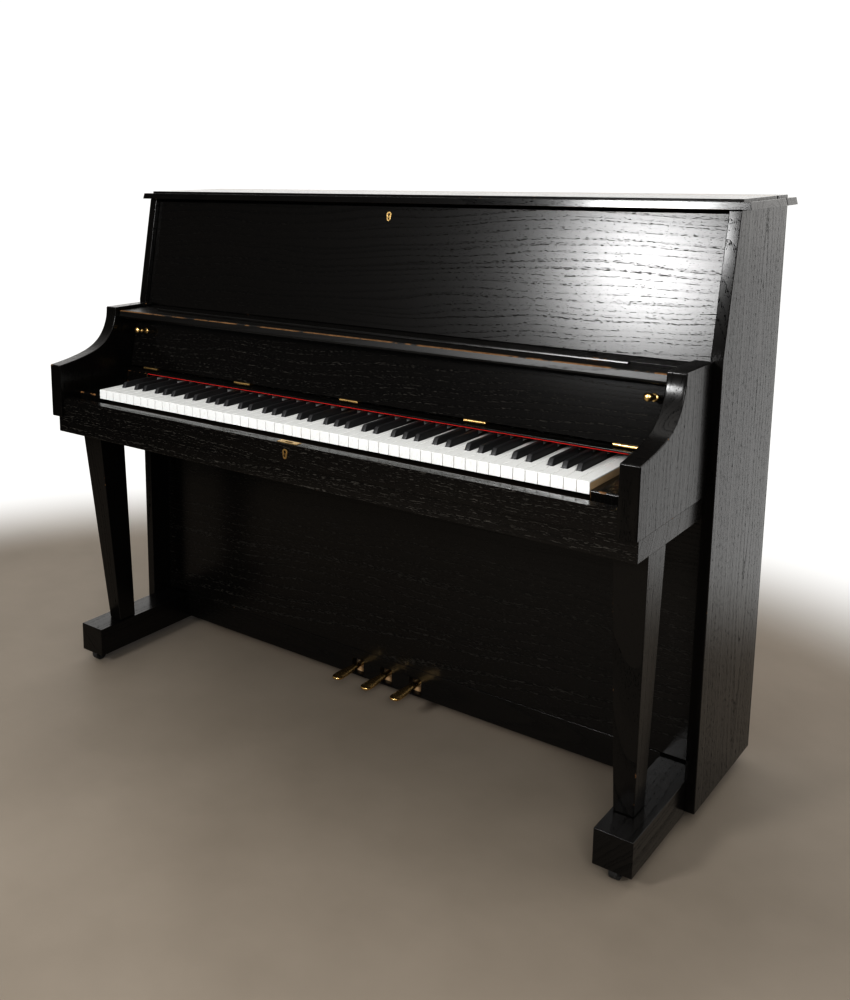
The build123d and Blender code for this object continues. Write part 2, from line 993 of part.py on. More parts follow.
single_notes = {
    "key_c_middle": (4, 0),
    "key_c_sharp_middle": (4, 1),
    "key_d_middle": (4, 2),
    "key_d_sharp_middle": (4, 3),
    "key_e_middle": (4, 4),
}
all_whites = [(0, 9), (0, 11)]
all_whites += [(n, t) for n in range(1, 8) for t in white_tones]
all_whites += [(8, 0)]
all_blacks = [(0, 10)] + [(n, t) for n in range(1, 8) for t in black_tones]

group_whites = [note for note in all_whites if note not in single_notes.values()]
group_blacks = [note for note in all_blacks if note not in single_notes.values()]

with BuildPart() as white_keys:
    with BuildSketch(Plane.XY.offset(key_bottom)) as white_plans:
        for note in group_whites:
            with BuildLine():
                Polyline(*white_outline(*note), close=True)
            make_face()
    extrude(amount=key_depth)
save(white_keys.part, "white_keys")

with BuildPart() as black_keys:
    with Locations(*[(black_middle(*note), 0, 0) for note in group_blacks]):
        add(one_black_key.part)
save(black_keys.part, "black_keys")

for note_name, note in single_notes.items():
    with BuildPart() as single_key:
        if note[1] in white_tones:
            with BuildSketch(Plane.XY.offset(key_bottom)) as single_plan:
                with BuildLine():
                    Polyline(*white_outline(*note), close=True)
                make_face()
            extrude(amount=key_depth)
        else:
            with Locations((black_middle(*note), 0, 0)):
                add(one_black_key.part)
    save(single_key.part, note_name)


# ---- frame under the keys ------------------------------------------------
frame_foot = bed_top + 0.1
with BuildPart() as key_frame:
    block(-half_keys, half_keys, key_front + 10, key_front + 44, frame_foot, key_bottom - 14)
    block(-half_keys, half_keys, balance_y - 20, balance_y + 20, frame_foot, key_bottom - 6)
    block(
        -half_keys,
        half_keys,
        balance_y - 3,
        balance_y + 3,
        key_bottom - 7,
        key_bottom - seat_gap,
    )
    block(-half_keys, half_keys, key_tail - 26, key_tail, frame_foot, key_bottom - seat_gap)
    for i in range(5):
        x = -half_keys + 20 + i * (2 * half_keys - 40) / 4
        block(x - 20, x + 20, key_front + 20, key_tail - 10, frame_foot, frame_foot + 12)
save(key_frame.part, "key_frame")


# ---- action --------------------------------------------------------------
rail_low = key_top_height + 43.0
rail_high = rail_low + 75.0
main_rail_front = action_back - 20.0
rest_rail_z = rail_high + 72.0
rest_rail_front = main_rail_front - 26.0
action_half = half_keys - 2.0
bracket_xs = [i * (action_half - 6) / 2 for i in range(-2, 3)]
bracket_front = max(key_tail + 4.5, main_rail_front - 12.0)
with BuildPart() as action_frame:
    for x in bracket_xs:
        block(x - 5, x + 5, bracket_front, action_back + 6, bed_top + 0.1, rail_high + 110)
        block(x - 5, x + 5, rest_rail_front, bracket_front + 1, rest_rail_z - 16, rest_rail_z)
        block(
            x - 6,
            x + 6,
            bracket_front + 6,
            action_back - 4,
            bed_top + 14,
            rail_low - 12,
            Mode.SUBTRACT,
        )
    block(-action_half, action_half, main_rail_front, action_back, rail_low, rail_high)
    block(
        -action_half,
        action_half,
        rest_rail_front,
        rest_rail_front + 10,
        rest_rail_z - 14,
        rest_rail_z,
    )
save(action_frame.part, "action_frame")


def note_x(index):
    """Place of one note along the action, kept clear of the brackets."""
    return -half_keys + 22.5 + (index + 0.5) * note_step * (note_count - 1) / note_count


def clear_of_brackets(x, half_width):
    """True where a part of this half width misses every bracket."""
    return all(abs(x - b) > half_width + 5.4 for b in bracket_xs)


action_notes = [i for i in range(note_count) if clear_of_brackets(note_x(i), 4.6)]
hammer_y = main_rail_front + 10.0
hammer_z = rail_high + 138.0
with BuildPart() as one_hammer:
    block(-4, 4, main_rail_front + 2, action_back - 2, rail_high + 0.1, rail_high + 16)
    along_z(0, hammer_y, 2.6, rail_high + 15, hammer_z - 9)
    head_outline = [
        (hammer_y - 16, hammer_z - 3),
        (hammer_y - 16, hammer_z + 3),
        (hammer_y + 2, hammer_z + 11),
        (hammer_y + 14, hammer_z + 7),
        (hammer_y + 19, hammer_z),
        (hammer_y + 14, hammer_z - 7),
        (hammer_y + 2, hammer_z - 11),
    ]
    prism(head_outline, -4.2, 4.2)

with BuildPart() as hammers:
    with Locations(*[(note_x(i), 0, 0) for i in action_notes]):
        add(one_hammer.part)
save(hammers.part, "hammers")

damper_top = rail_high + 70.0
bass_notes = 26
damped_notes = 68
bass_face = string_y - 2.2
treble_face = string_y - 0.8
with BuildPart() as one_damper_lever:
    block(-3.5, 3.5, action_back + 0.1, action_back + 7, rail_high - 25, rail_high - 5)
    block(-1.2, 1.2, action_back + 3.5, action_back + 7, rail_high - 8, damper_top - 8)

with BuildPart() as one_bass_damper:
    add(one_damper_lever.part)
    block(-3.8, 3.8, action_back + 3.5, bass_face - 0.1, damper_top - 26, damper_top)

with BuildPart() as one_treble_damper:
    add(one_damper_lever.part)
    block(-3.8, 3.8, action_back + 3.5, treble_face - 0.1, damper_top - 26, damper_top)

with BuildPart() as dampers:
    with Locations(*[(note_x(i), 0, 0) for i in action_notes if i < bass_notes]):
        add(one_bass_damper.part)
    with Locations(
        *[(note_x(i), 0, 0) for i in action_notes if bass_notes <= i < damped_notes]
    ):
        add(one_treble_damper.part)
save(dampers.part, "dampers")

wippen_low = rail_low + 7.0
pad_y = key_tail - 12.0
with BuildPart() as one_wippen:
    block(-3.5, 3.5, pad_y - 6, main_rail_front - 0.1, wippen_low, wippen_low + 12)
    block(-3.0, 3.0, pad_y - 4, pad_y + 4, key_top_height + 7, wippen_low + 1)
    block(
        -1.8,
        1.8,
        main_rail_front - 14,
        main_rail_front - 9,
        wippen_low + 11,
        rail_high - 4,
    )

with BuildPart() as wippens:
    with Locations(*[(note_x(i), 0, 0) for i in action_notes]):
        add(one_wippen.part)
save(wippens.part, "wippens")


# ---- wooden back, soundboard and iron frame ------------------------------
back_half = inside - 12.0
frame_low = toe_top + 4.0
frame_top = lid_bottom - 1.0
pin_low = overall_height - 190.0
with BuildPart() as back_frame:
    for i in range(5):
        x = (i - 2) * (back_half - 60) / 2
        block(
            x - post_width / 2,
            x + post_width / 2,
            post_front,
            post_front + post_depth,
            frame_low,
            frame_top,
        )
    block(-inside, inside, post_front, post_front + post_depth, frame_top - 90, frame_top)
    block(-inside, inside, post_front, post_front + post_depth, frame_low, frame_low + 70)
    block(-back_half, back_half, liner_front, post_front + 1, pin_low - 20, frame_top - 30)
    block(-back_half, back_half, liner_front, post_front + 1, frame_low, frame_low + 50)
    for side in (-1, 1):
        block(
            side * (back_half - 34),
            side * back_half,
            liner_front,
            post_front + 30,
            frame_low,
            frame_top - 30,
        )
save(back_frame.part, "back_frame")

block_top = frame_top - 34.0


def pin_height(index):
    """Height of a tuning pin, in four staggered rows."""
    return block_top - 24 - 20 * (index % 4)


def pin_places(y):
    """Places of all tuning pins, turned to lie along Y."""
    shift = tuning_pin_radius + 0.9
    spots = [(note_x(i) + shift, y, pin_height(i)) for i in range(note_count)]
    return [Location(spot, (90, 0, 0)) for spot in spots]


with BuildPart() as pin_block:
    block(-back_half, back_half, block_front, liner_front - 0.1, pin_low, block_top)
    with Locations(*pin_places(block_front + 13)):
        Cylinder(tuning_pin_radius + running_play, 30, mode=Mode.SUBTRACT)
save(pin_block.part, "pin_block")

with BuildPart() as soundboard:
    block(-back_half, back_half, board_front, liner_front - 0.1, frame_low + 2, pin_low - 1)
    rib_span = pin_low - frame_low - 130
    for i in range(9):
        z = frame_low + 66 + i * rib_span / 8
        block(
            -back_half + 40,
            back_half - 40,
            liner_front,
            liner_front + 18,
            z - 11,
            z + 11,
        )
save(soundboard.part, "soundboard")

hitch_z = frame_low + 105.0
strut_xs = (-250.0, 115.0, 415.0)
strut_half = 13.0
window_low = frame_low + 130.0
window_high = pin_low - 30.0
with BuildPart() as iron_plate:
    block(-back_half, back_half, plate_front, plate_back, frame_low + 8, block_top)
    edges = [-back_half + 42]
    for x in strut_xs:
        edges += [x - strut_half, x + strut_half]
    edges += [back_half - 42]
    for left_edge, right_edge in zip(edges[0::2], edges[1::2]):
        block(
            left_edge,
            right_edge,
            plate_front - 1,
            plate_back + 1,
            window_low,
            window_high,
            Mode.SUBTRACT,
        )
    block(
        -back_half + 30,
        back_half - 30,
        string_y + 0.7,
        plate_front + 1,
        hitch_z - 14,
        hitch_z,
    )
    block(
        -back_half + 30,
        back_half - 30,
        string_y + 0.7,
        plate_front + 1,
        pin_low + 4,
        pin_low + 14,
    )
    with Locations(*pin_places((plate_front + plate_back) / 2)):
        Cylinder(tuning_pin_radius + 0.8, plate_thickness + 2, mode=Mode.SUBTRACT)
save(iron_plate.part, "iron_plate")


def bridge_height(x):
    """Height of the long bridge, rising toward the treble."""
    share = (x + half_keys) / (2 * half_keys)
    span = window_high - window_low
    return window_low + span * (0.16 + 0.72 * share * share)


with BuildPart() as bridges:
    for left_edge, right_edge in zip(edges[0::2], edges[1::2]):
        steps = 6
        x0 = left_edge + 8
        x1 = right_edge - 8
        xs = [x0 + (x1 - x0) * k / steps for k in range(steps + 1)]
        tops = [(x, bridge_height(x) + 17) for x in xs]
        bottoms = [(x, bridge_height(x) - 17) for x in reversed(xs)]
        flat = Plane(origin=(0, board_front - 0.1, 0), x_dir=(1, 0, 0), z_dir=(0, -1, 0))
        with BuildSketch(flat) as bridge_outline:
            with BuildLine():
                Polyline(*(tops + bottoms), close=True)
            make_face()
        extrude(
            to_extrude=bridge_outline.sketch,
            amount=board_front - 0.1 - (string_y + 0.9),
        )
save(bridges.part, "bridges")

string_foot = hitch_z - 10
with BuildPart() as strings:
    for row in range(4):
        top = block_top - 24 - 20 * row
        for thick, notes in ((1.4, range(bass_notes)), (0.7, range(bass_notes, note_count))):
            spots = [i for i in notes if i % 4 == row]
            middle_z = (string_foot + top) / 2
            shift = 0.7 - thick
            with Locations(*[(note_x(i) + shift, string_y + shift, middle_z) for i in spots]):
                Cylinder(thick, top - string_foot)
save(strings.part, "strings")

pin_back = block_front + 27
pin_reach = string_y - 14
with BuildPart() as tuning_pins:
    with Locations(*pin_places((pin_back + pin_reach) / 2)):
        Cylinder(tuning_pin_radius, pin_back - pin_reach)
save(tuning_pins.part, "tuning_pins")


# ---- pedals --------------------------------------------------------------
pedal_pivot_y = lower_back + 82.0
pedal_tip_y = lower_front - 92.0
pedal_tail_y = pedal_pivot_y + 24.0


def pedal_shape(x):
    """Pedal lever with a broad rounded tip in front of the case."""
    z = pedal_height
    half = pedal_width / 2
    with BuildSketch(Plane.XY.offset(z - 4)) as toe_plan:
        with BuildLine():
            Polyline(
                (x - 7, lower_front - 6),
                (x - half, pedal_tip_y + 36),
                (x - half, pedal_tip_y + 10),
                (x - half + 5, pedal_tip_y + 2),
                (x - half + 10, pedal_tip_y),
                (x + half - 10, pedal_tip_y),
                (x + half - 5, pedal_tip_y + 2),
                (x + half, pedal_tip_y + 10),
                (x + half, pedal_tip_y + 36),
                (x + 7, lower_front - 6),
                close=True,
            )
        make_face()
    extrude(to_extrude=toe_plan.sketch, amount=8)
    block(x - 7, x + 7, lower_front - 7, pedal_tail_y, z - 5, z + 5)
    along_x(pedal_pivot_y, z, 7.0, x - 7, x + 7)
    along_x(
        pedal_pivot_y,
        z,
        pedal_pin_radius + running_play,
        x - 8,
        x + 8,
        Mode.SUBTRACT,
    )


with BuildPart() as pedal_left:
    pedal_shape(pedal_xs[0])
save(pedal_left.part, "pedal_left")

with BuildPart() as pedal_middle:
    pedal_shape(pedal_xs[1])
save(pedal_middle.part, "pedal_middle")

with BuildPart() as pedal_right:
    pedal_shape(pedal_xs[2])
save(pedal_right.part, "pedal_right")

with BuildPart() as pedal_brackets:
    for x in pedal_xs:
        for side in (-1, 1):
            block(
                x + side * 7.5,
                x + side * 12.0,
                pedal_pivot_y - 9,
                pedal_pivot_y + 9,
                board_top + 0.1,
                pedal_height + 7,
            )
        block(
            x - 12,
            x + 12,
            pedal_pivot_y - 16,
            pedal_pivot_y + 16,
            board_top + 0.1,
            board_top + 2.5,
        )
        along_x(pedal_pivot_y, pedal_height, pedal_pin_radius, x - 12, x + 12)
save(pedal_brackets.part, "pedal_brackets")


# ---- casters -------------------------------------------------------------
def caster_fork(x, y):
    """Swivelling fork: stem, disc, two cheeks and the axle."""
    wheel_y = y - caster_trail
    cheek_in = wheel_width / 2 + 0.6
    cheek_out = cheek_in + 3.0
    disc_top = pocket_top - 0.4
    along_z(x, y, stem_radius, disc_top - 3, pocket_top + 18)
    along_z(x, y, 15.0, disc_top - 4, disc_top)
    for side in (-1, 1):
        outline = [
            (wheel_y - 7, wheel_radius - 6),
            (wheel_y + 7, wheel_radius - 6),
            (y + 8, disc_top - 3),
            (y - 8, disc_top - 3),
        ]
        prism(outline, x + side * cheek_in, x + side * cheek_out)
    along_x(wheel_y, wheel_radius, axle_radius, x - cheek_out - 1, x + cheek_out + 1)


def caster_wheel(x, y):
    """Solid wheel with a hub."""
    wheel_y = y - caster_trail
    along_x(wheel_y, wheel_radius, wheel_radius, x - wheel_width / 2, x + wheel_width / 2)
    for side in (-1, 1):
        along_x(
            wheel_y,
            wheel_radius,
            wheel_radius - 5,
            x + side * wheel_width / 2,
            x + side * (wheel_width / 2 - 2),
            Mode.SUBTRACT,
        )
        along_x(
            wheel_y,
            wheel_radius,
            6.5,
            x + side * wheel_width / 2,
            x + side * (wheel_width / 2 - 3),
        )
    along_x(
        wheel_y,
        wheel_radius,
        axle_radius + running_play,
        x - wheel_width,
        x + wheel_width,
        Mode.SUBTRACT,
    )


with BuildPart() as caster_fork_front_left:
    caster_fork(-caster_x, front_stem_y)
save(caster_fork_front_left.part, "caster_fork_front_left")

with BuildPart() as caster_fork_front_right:
    caster_fork(caster_x, front_stem_y)
save(caster_fork_front_right.part, "caster_fork_front_right")

with BuildPart() as caster_wheel_front_left:
    caster_wheel(-caster_x, front_stem_y)
save(caster_wheel_front_left.part, "caster_wheel_front_left")

with BuildPart() as caster_wheel_front_right:
    caster_wheel(caster_x, front_stem_y)
save(caster_wheel_front_right.part, "caster_wheel_front_right")

with BuildPart() as caster_forks_rear:
    for side in (-1, 1):
        caster_fork(side * caster_x, rear_stem_y)
save(caster_forks_rear.part, "caster_forks_rear")

with BuildPart() as caster_wheels_rear:
    for side in (-1, 1):
        caster_wheel(side * caster_x, rear_stem_y)
save(caster_wheels_rear.part, "caster_wheels_rear")
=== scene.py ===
import json
import math

import bmesh
import bpy
from mathutils import Matrix, Vector

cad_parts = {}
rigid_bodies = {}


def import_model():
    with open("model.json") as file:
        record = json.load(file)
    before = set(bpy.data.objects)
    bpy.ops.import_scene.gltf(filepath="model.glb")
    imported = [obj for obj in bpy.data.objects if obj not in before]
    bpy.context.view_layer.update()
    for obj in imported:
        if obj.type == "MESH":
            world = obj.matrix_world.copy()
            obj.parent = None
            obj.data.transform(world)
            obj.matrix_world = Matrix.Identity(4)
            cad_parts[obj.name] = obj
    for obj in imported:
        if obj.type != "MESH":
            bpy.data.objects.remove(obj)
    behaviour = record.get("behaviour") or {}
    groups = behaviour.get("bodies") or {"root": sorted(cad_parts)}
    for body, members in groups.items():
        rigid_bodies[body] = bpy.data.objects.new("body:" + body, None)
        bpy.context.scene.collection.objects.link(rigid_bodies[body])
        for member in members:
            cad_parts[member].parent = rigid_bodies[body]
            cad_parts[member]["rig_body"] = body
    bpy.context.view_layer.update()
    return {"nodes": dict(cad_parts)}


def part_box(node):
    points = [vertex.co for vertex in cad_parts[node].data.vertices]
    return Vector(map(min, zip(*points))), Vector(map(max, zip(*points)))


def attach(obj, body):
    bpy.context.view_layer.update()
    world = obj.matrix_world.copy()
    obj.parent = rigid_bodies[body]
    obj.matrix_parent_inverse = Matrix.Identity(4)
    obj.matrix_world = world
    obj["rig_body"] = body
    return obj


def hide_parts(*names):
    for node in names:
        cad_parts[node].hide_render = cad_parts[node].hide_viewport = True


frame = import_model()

# ---- side panels -----------------------------------------------------------
# Two upright boards of veneered oak that stand beside the toe beams and carry
# the lid. The oak is stained black and its thin satin lacquer leaves the
# pores open, so the cathedral figure shows as rows of small dark pits.


def node(tree, kind, inputs=None, **settings):
    """One shader or geometry node with its settings and its linked or set inputs."""
    made = tree.nodes.new(kind)
    for name, value in settings.items():
        setattr(made, name, value)
    for name, value in (inputs or {}).items():
        if isinstance(value, bpy.types.NodeSocket):
            tree.links.new(value, made.inputs[name])
        else:
            made.inputs[name].default_value = value
    return made


def sockets(tree, inputs, outputs):
    """Named sockets of a node group, each as (name, kind, value)."""
    for name, kind, value in inputs:
        made = tree.interface.new_socket(name, in_out="INPUT", socket_type="NodeSocket" + kind)
        if value is not None:
            made.default_value = value
    for name, kind in outputs:
        tree.interface.new_socket(name, in_out="OUTPUT", socket_type="NodeSocket" + kind)


def sum_of(tree, operation, first, second=0.0, third=0.0, clamp=False):
    """Result of one Math node."""
    return node(tree, "ShaderNodeMath", {0: first, 1: second, 2: third},
                operation=operation, use_clamp=clamp).outputs[0]


def spread(tree, value, low, high, to_low=0.0, to_high=1.0, smooth=True):
    """A value carried from one range to another and held at its ends."""
    return node(tree, "ShaderNodeMapRange",
                {"Value": value, "From Min": low, "From Max": high, "To Min": to_low, "To Max": to_high},
                interpolation_type="SMOOTHSTEP" if smooth else "LINEAR").outputs["Result"]


def noise(tree, vector, detail=2.0, roughness=0.5):
    """Noise whose scale is already in its coordinates."""
    return node(tree, "ShaderNodeTexNoise",
                {"Vector": vector, "Scale": 1.0, "Detail": detail, "Roughness": roughness}).outputs["Fac"]


def stretched(tree, vector, x, y, z):
    """Coordinates stretched by a factor along each axis."""
    return node(tree, "ShaderNodeVectorMath", {0: vector, 1: (x, y, z)}, operation="MULTIPLY").outputs[0]


def build_oak_grain():
    """Oak cut from a log that lies along X, as masks for its pores and rings."""
    tree = bpy.data.node_groups.new("oak_grain", "ShaderNodeTree")
    sockets(tree,
            [("Vector", "Vector", None), ("Ring Spacing", "Float", 0.0085), ("Log Depth", "Float", 0.03),
             ("Log Tilt", "Float", 0.05), ("Pore Length", "Float", 0.010), ("Pore Width", "Float", 0.0011),
             ("Openness", "Float", 0.5)],
            [("Pores", "Float"), ("Rings", "Float"), ("Height", "Float")])
    given = tree.nodes.new("NodeGroupInput")
    result = tree.nodes.new("NodeGroupOutput")
    place = given.outputs["Vector"]
    sway = noise(tree, stretched(tree, place, 1.3, 4.0, 4.0), 2.0)
    ripple = noise(tree, stretched(tree, place, 6.0, 60.0, 60.0), 3.0)
    parts = node(tree, "ShaderNodeSeparateXYZ", {0: place}).outputs
    across = sum_of(tree, "MULTIPLY_ADD", sum_of(tree, "SUBTRACT", sway, 0.5), 0.09, parts[1])
    across = sum_of(tree, "MULTIPLY_ADD", sum_of(tree, "SUBTRACT", ripple, 0.5), 0.0065, across)
    depth = sum_of(tree, "ADD", parts[2], given.outputs["Log Depth"])
    depth = sum_of(tree, "MULTIPLY_ADD", parts[0], given.outputs["Log Tilt"], depth)
    radius = sum_of(tree, "SQRT", sum_of(tree, "ADD", sum_of(tree, "MULTIPLY", across, across),
                                         sum_of(tree, "MULTIPLY", depth, depth)))
    season = node(tree, "ShaderNodeCombineXYZ", {0: sum_of(tree, "MULTIPLY", radius, 55.0)}).outputs[0]
    radius = sum_of(tree, "MULTIPLY_ADD", noise(tree, season, 3.0, 0.6), 0.034, radius)
    turn = sum_of(tree, "FRACT", sum_of(tree, "DIVIDE", radius, given.outputs["Ring Spacing"]))
    early = spread(tree, turn, 0.0, 0.55, 1.0, 0.0)
    pit_scale = node(tree, "ShaderNodeCombineXYZ", {
        0: sum_of(tree, "DIVIDE", 1.0, given.outputs["Pore Length"]),
        1: sum_of(tree, "DIVIDE", 1.0, given.outputs["Pore Width"]),
        2: sum_of(tree, "DIVIDE", 1.0, given.outputs["Pore Width"])}).outputs[0]
    pits = noise(tree, node(tree, "ShaderNodeVectorMath", {0: place, 1: pit_scale},
                            operation="MULTIPLY").outputs[0], 1.0)
    level = sum_of(tree, "MULTIPLY_ADD", early, -0.19, 0.79)
    level = sum_of(tree, "MULTIPLY_ADD", given.outputs["Openness"], -0.10, level)
    pores = spread(tree, sum_of(tree, "SUBTRACT", pits, level), 0.0, 0.06)
    late = noise(tree, stretched(tree, place, 130.0, 1250.0, 1250.0), 1.0)
    pores = sum_of(tree, "MAXIMUM", pores, spread(tree, late, 0.67, 0.75, 0.0, 0.7))
    fibre = noise(tree, stretched(tree, place, 45.0, 1600.0, 1600.0), 1.0)
    height = sum_of(tree, "MULTIPLY_ADD", pores, -1.0, sum_of(tree, "MULTIPLY", fibre, 0.22))
    tree.links.new(pores, result.inputs["Pores"])
    tree.links.new(early, result.inputs["Rings"])
    tree.links.new(height, result.inputs["Height"])
    return tree


def build_rubbed_edges():
    """Where handling has rubbed the lacquer: patches along the arrises only."""
    tree = bpy.data.node_groups.new("rubbed_edges", "ShaderNodeTree")
    sockets(tree, [("Vector", "Vector", None), ("Wear", "Float", 0.3), ("Patch Size", "Float", 0.05)],
            [("Rubbed", "Float")])
    given = tree.nodes.new("NodeGroupInput")
    result = tree.nodes.new("NodeGroupOutput")
    arris = node(tree, "ShaderNodeAttribute", attribute_name="arris").outputs["Fac"]
    size = sum_of(tree, "DIVIDE", 1.0, given.outputs["Patch Size"])
    scaled = node(tree, "ShaderNodeVectorMath", {0: given.outputs["Vector"], "Scale": size},
                  operation="SCALE").outputs[0]
    patches = noise(tree, scaled, 4.0, 0.7)
    floor = sum_of(tree, "MULTIPLY_ADD", given.outputs["Wear"], -0.45, 0.78)
    rubbed = spread(tree, sum_of(tree, "SUBTRACT", patches, floor), 0.0, 0.06)
    tree.links.new(sum_of(tree, "MULTIPLY", rubbed, arris), result.inputs["Rubbed"])
    return tree


oak_grain = build_oak_grain()
rubbed_edges = build_rubbed_edges()


def colour_mix(tree, share, first, second):
    """One colour laid over another by a mask."""
    mix = node(tree, "ShaderNodeMix", data_type="RGBA")
    for socket, value in ((0, share), (6, first), (7, second)):
        if isinstance(value, bpy.types.NodeSocket):
            tree.links.new(value, mix.inputs[socket])
        else:
            mix.inputs[socket].default_value = value
    return mix.outputs[2]


def new_material(name):
    """Empty material with one Principled shader, and its tree."""
    made = bpy.data.materials.new(name)
    made.use_nodes = True
    return made, made.node_tree, made.node_tree.nodes["Principled BSDF"]


def relief(tree, shader, height, strength, distance):
    """Fine relief on a surface, from a height mask."""
    bump = node(tree, "ShaderNodeBump", {"Height": height, "Strength": strength, "Distance": distance})
    tree.links.new(bump.outputs["Normal"], shader.inputs["Normal"])


def laid_grain(tree, place, axes_of_board, sizes):
    """Coordinates turned to a board's length, width and depth, and the grain masks there."""
    axes = node(tree, "ShaderNodeSeparateXYZ", {0: place}).outputs
    laid = node(tree, "ShaderNodeCombineXYZ", {i: axes[axis] for i, axis in enumerate(axes_of_board)}).outputs[0]
    return laid, node(tree, "ShaderNodeGroup", {"Vector": laid, **sizes}, node_tree=oak_grain).outputs


def black_oak(name, along, across, depth, shift, log_depth=0.03, tilt=0.05, wear=0.25, pore_width=0.0012,
              gloss=0.24, openness=0.5, dust=0.5, ring=0.0085):
    """Black stained oak with its grain along one axis and a given board of the log."""
    made, tree, shader = new_material(name)
    place = node(tree, "ShaderNodeTexCoord").outputs["Object"]
    moved = node(tree, "ShaderNodeVectorMath", {0: place, 1: shift}, operation="ADD").outputs[0]
    grain = laid_grain(tree, moved, (along, across, depth), {
        "Ring Spacing": ring, "Log Depth": log_depth, "Log Tilt": tilt, "Pore Width": pore_width,
        "Openness": openness})[1]
    rubbed = node(tree, "ShaderNodeGroup", {"Vector": place, "Wear": wear}, node_tree=rubbed_edges).outputs["Rubbed"]
    stain = colour_mix(tree, grain["Rings"], (0.0042, 0.0034, 0.0028, 1), (0.0026, 0.0022, 0.0019, 1))
    stain = colour_mix(tree, grain["Pores"], stain,
                       (0.002 + 0.028 * dust, 0.002 + 0.026 * dust, 0.002 + 0.023 * dust, 1))
    worn = colour_mix(tree, noise(tree, stretched(tree, place, 120, 120, 120)),
                      (0.06, 0.03, 0.012, 1), (0.30, 0.17, 0.08, 1))
    tree.links.new(colour_mix(tree, rubbed, stain, worn), shader.inputs["Base Color"])
    film = sum_of(tree, "SUBTRACT", 1.0, sum_of(tree, "MULTIPLY", grain["Pores"], 0.92))
    film = sum_of(tree, "MULTIPLY", film, sum_of(tree, "MULTIPLY_ADD", grain["Rings"], -0.16, 1.0))
    film = sum_of(tree, "MULTIPLY", film, sum_of(tree, "SUBTRACT", 1.0,
                                                 sum_of(tree, "MULTIPLY", rubbed, 0.8)))
    tree.links.new(film, shader.inputs["Coat Weight"])
    shader.inputs["Coat Roughness"].default_value = gloss
    shader.inputs["Coat IOR"].default_value = 1.44
    shader.inputs["Specular IOR Level"].default_value = 0.03
    dull = sum_of(tree, "MULTIPLY_ADD", grain["Rings"], 0.12, 0.5)
    tree.links.new(dull, shader.inputs["Roughness"])
    relief(tree, shader, grain["Height"], 0.55, 0.0004)
    return made


def rounded_copy(name, edge, steps=2, angle=30, reshape=None):
    """Mesh of a CAD node with its arrises rounded over and marked for wear."""
    mesh = frame["nodes"][name].data.copy()
    mesh.materials.clear()
    for vert in mesh.vertices if reshape else ():
        vert.co = reshape(vert.co)
    shape = bmesh.new()
    shape.from_mesh(mesh)
    bmesh.ops.remove_doubles(shape, verts=shape.verts, dist=1e-6)
    bmesh.ops.dissolve_limit(shape, angle_limit=math.radians(0.4), verts=shape.verts, edges=shape.edges)
    shape.to_mesh(mesh)
    shape.free()
    mesh.polygons.foreach_set("use_smooth", [True] * len(mesh.polygons))
    rough = bpy.data.objects.new(name + "_rough", mesh)
    bpy.context.scene.collection.objects.link(rough)
    for slot in ("face", "arris"):
        mesh.materials.append(None)
    rounding = rough.modifiers.new("arris", "BEVEL")
    rounding.width = edge
    rounding.segments = steps
    rounding.limit_method = "ANGLE"
    rounding.angle_limit = math.radians(angle)
    rounding.material = 1
    rounding.miter_outer = "MITER_ARC"
    rounding.harden_normals = True
    levelled = rough.modifiers.new("levelled", "WEIGHTED_NORMAL")
    levelled.keep_sharp = True
    done = bpy.data.meshes.new_from_object(rough.evaluated_get(bpy.context.evaluated_depsgraph_get()))
    bpy.data.objects.remove(rough)
    arris = done.attributes.new("arris", "FLOAT", "FACE")
    arris.data.foreach_set("value", [float(face.material_index) for face in done.polygons])
    done.materials.clear()
    done.polygons.foreach_set("material_index", [0] * len(done.polygons))
    return done


def stand_for(name, mesh, material, *nodes, slot):
    """A finished piece that stands for CAD nodes and rides on their body."""
    piece = bpy.data.objects.new(name, mesh)
    bpy.context.scene.collection.objects.link(piece)
    mesh.materials.clear()
    mesh.materials.append(material)
    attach(piece, frame["nodes"][nodes[0]]["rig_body"])
    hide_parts(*nodes)
    return piece


def planed(name, material, edge=0.0012, slot="ebony_wood"):
    """A CAD board with rounded arrises and its finish."""
    return stand_for(name + "_board", rounded_copy(name, edge), material, name, slot=slot)


side_left_oak = black_oak("side_left_oak", 2, 1, 0, (0.0, -0.16, 0.25), log_depth=0.765, tilt=0.055, dust=0.0,
                          openness=0.8, pore_width=0.0016)
side_right_oak = black_oak("side_right_oak", 2, 1, 0, (0.0, -0.20, -0.1), log_depth=-0.70, tilt=-0.05, dust=0.0,
                           openness=0.8, pore_width=0.0016)
planed("side_panel_left", side_left_oak, 0.0016)
planed("side_panel_right", side_right_oak, 0.0016)

# ---- arms ------------------------------------------------------------------
# Thick cheeks glued to the front of the sides. Their outer faces are veneered
# upright like the sides, and the hollow sweep down to the front is a smooth
# edge band with its corners eased by hand.
arm_oak = black_oak("arm_oak", 2, 1, 0, (0.0, 0.17, 0.45), log_depth=-0.66, tilt=-0.045, wear=0.35, dust=0.0,
                    openness=0.5, pore_width=0.0011)
arm_left_oak = black_oak("arm_left_oak", 2, 1, 0, (0.0, 0.14, 0.1), log_depth=0.735, tilt=0.05, wear=0.35, dust=0.1)
planed("arm_left", arm_left_oak, 0.0022)
planed("arm_right", arm_oak, 0.0022)

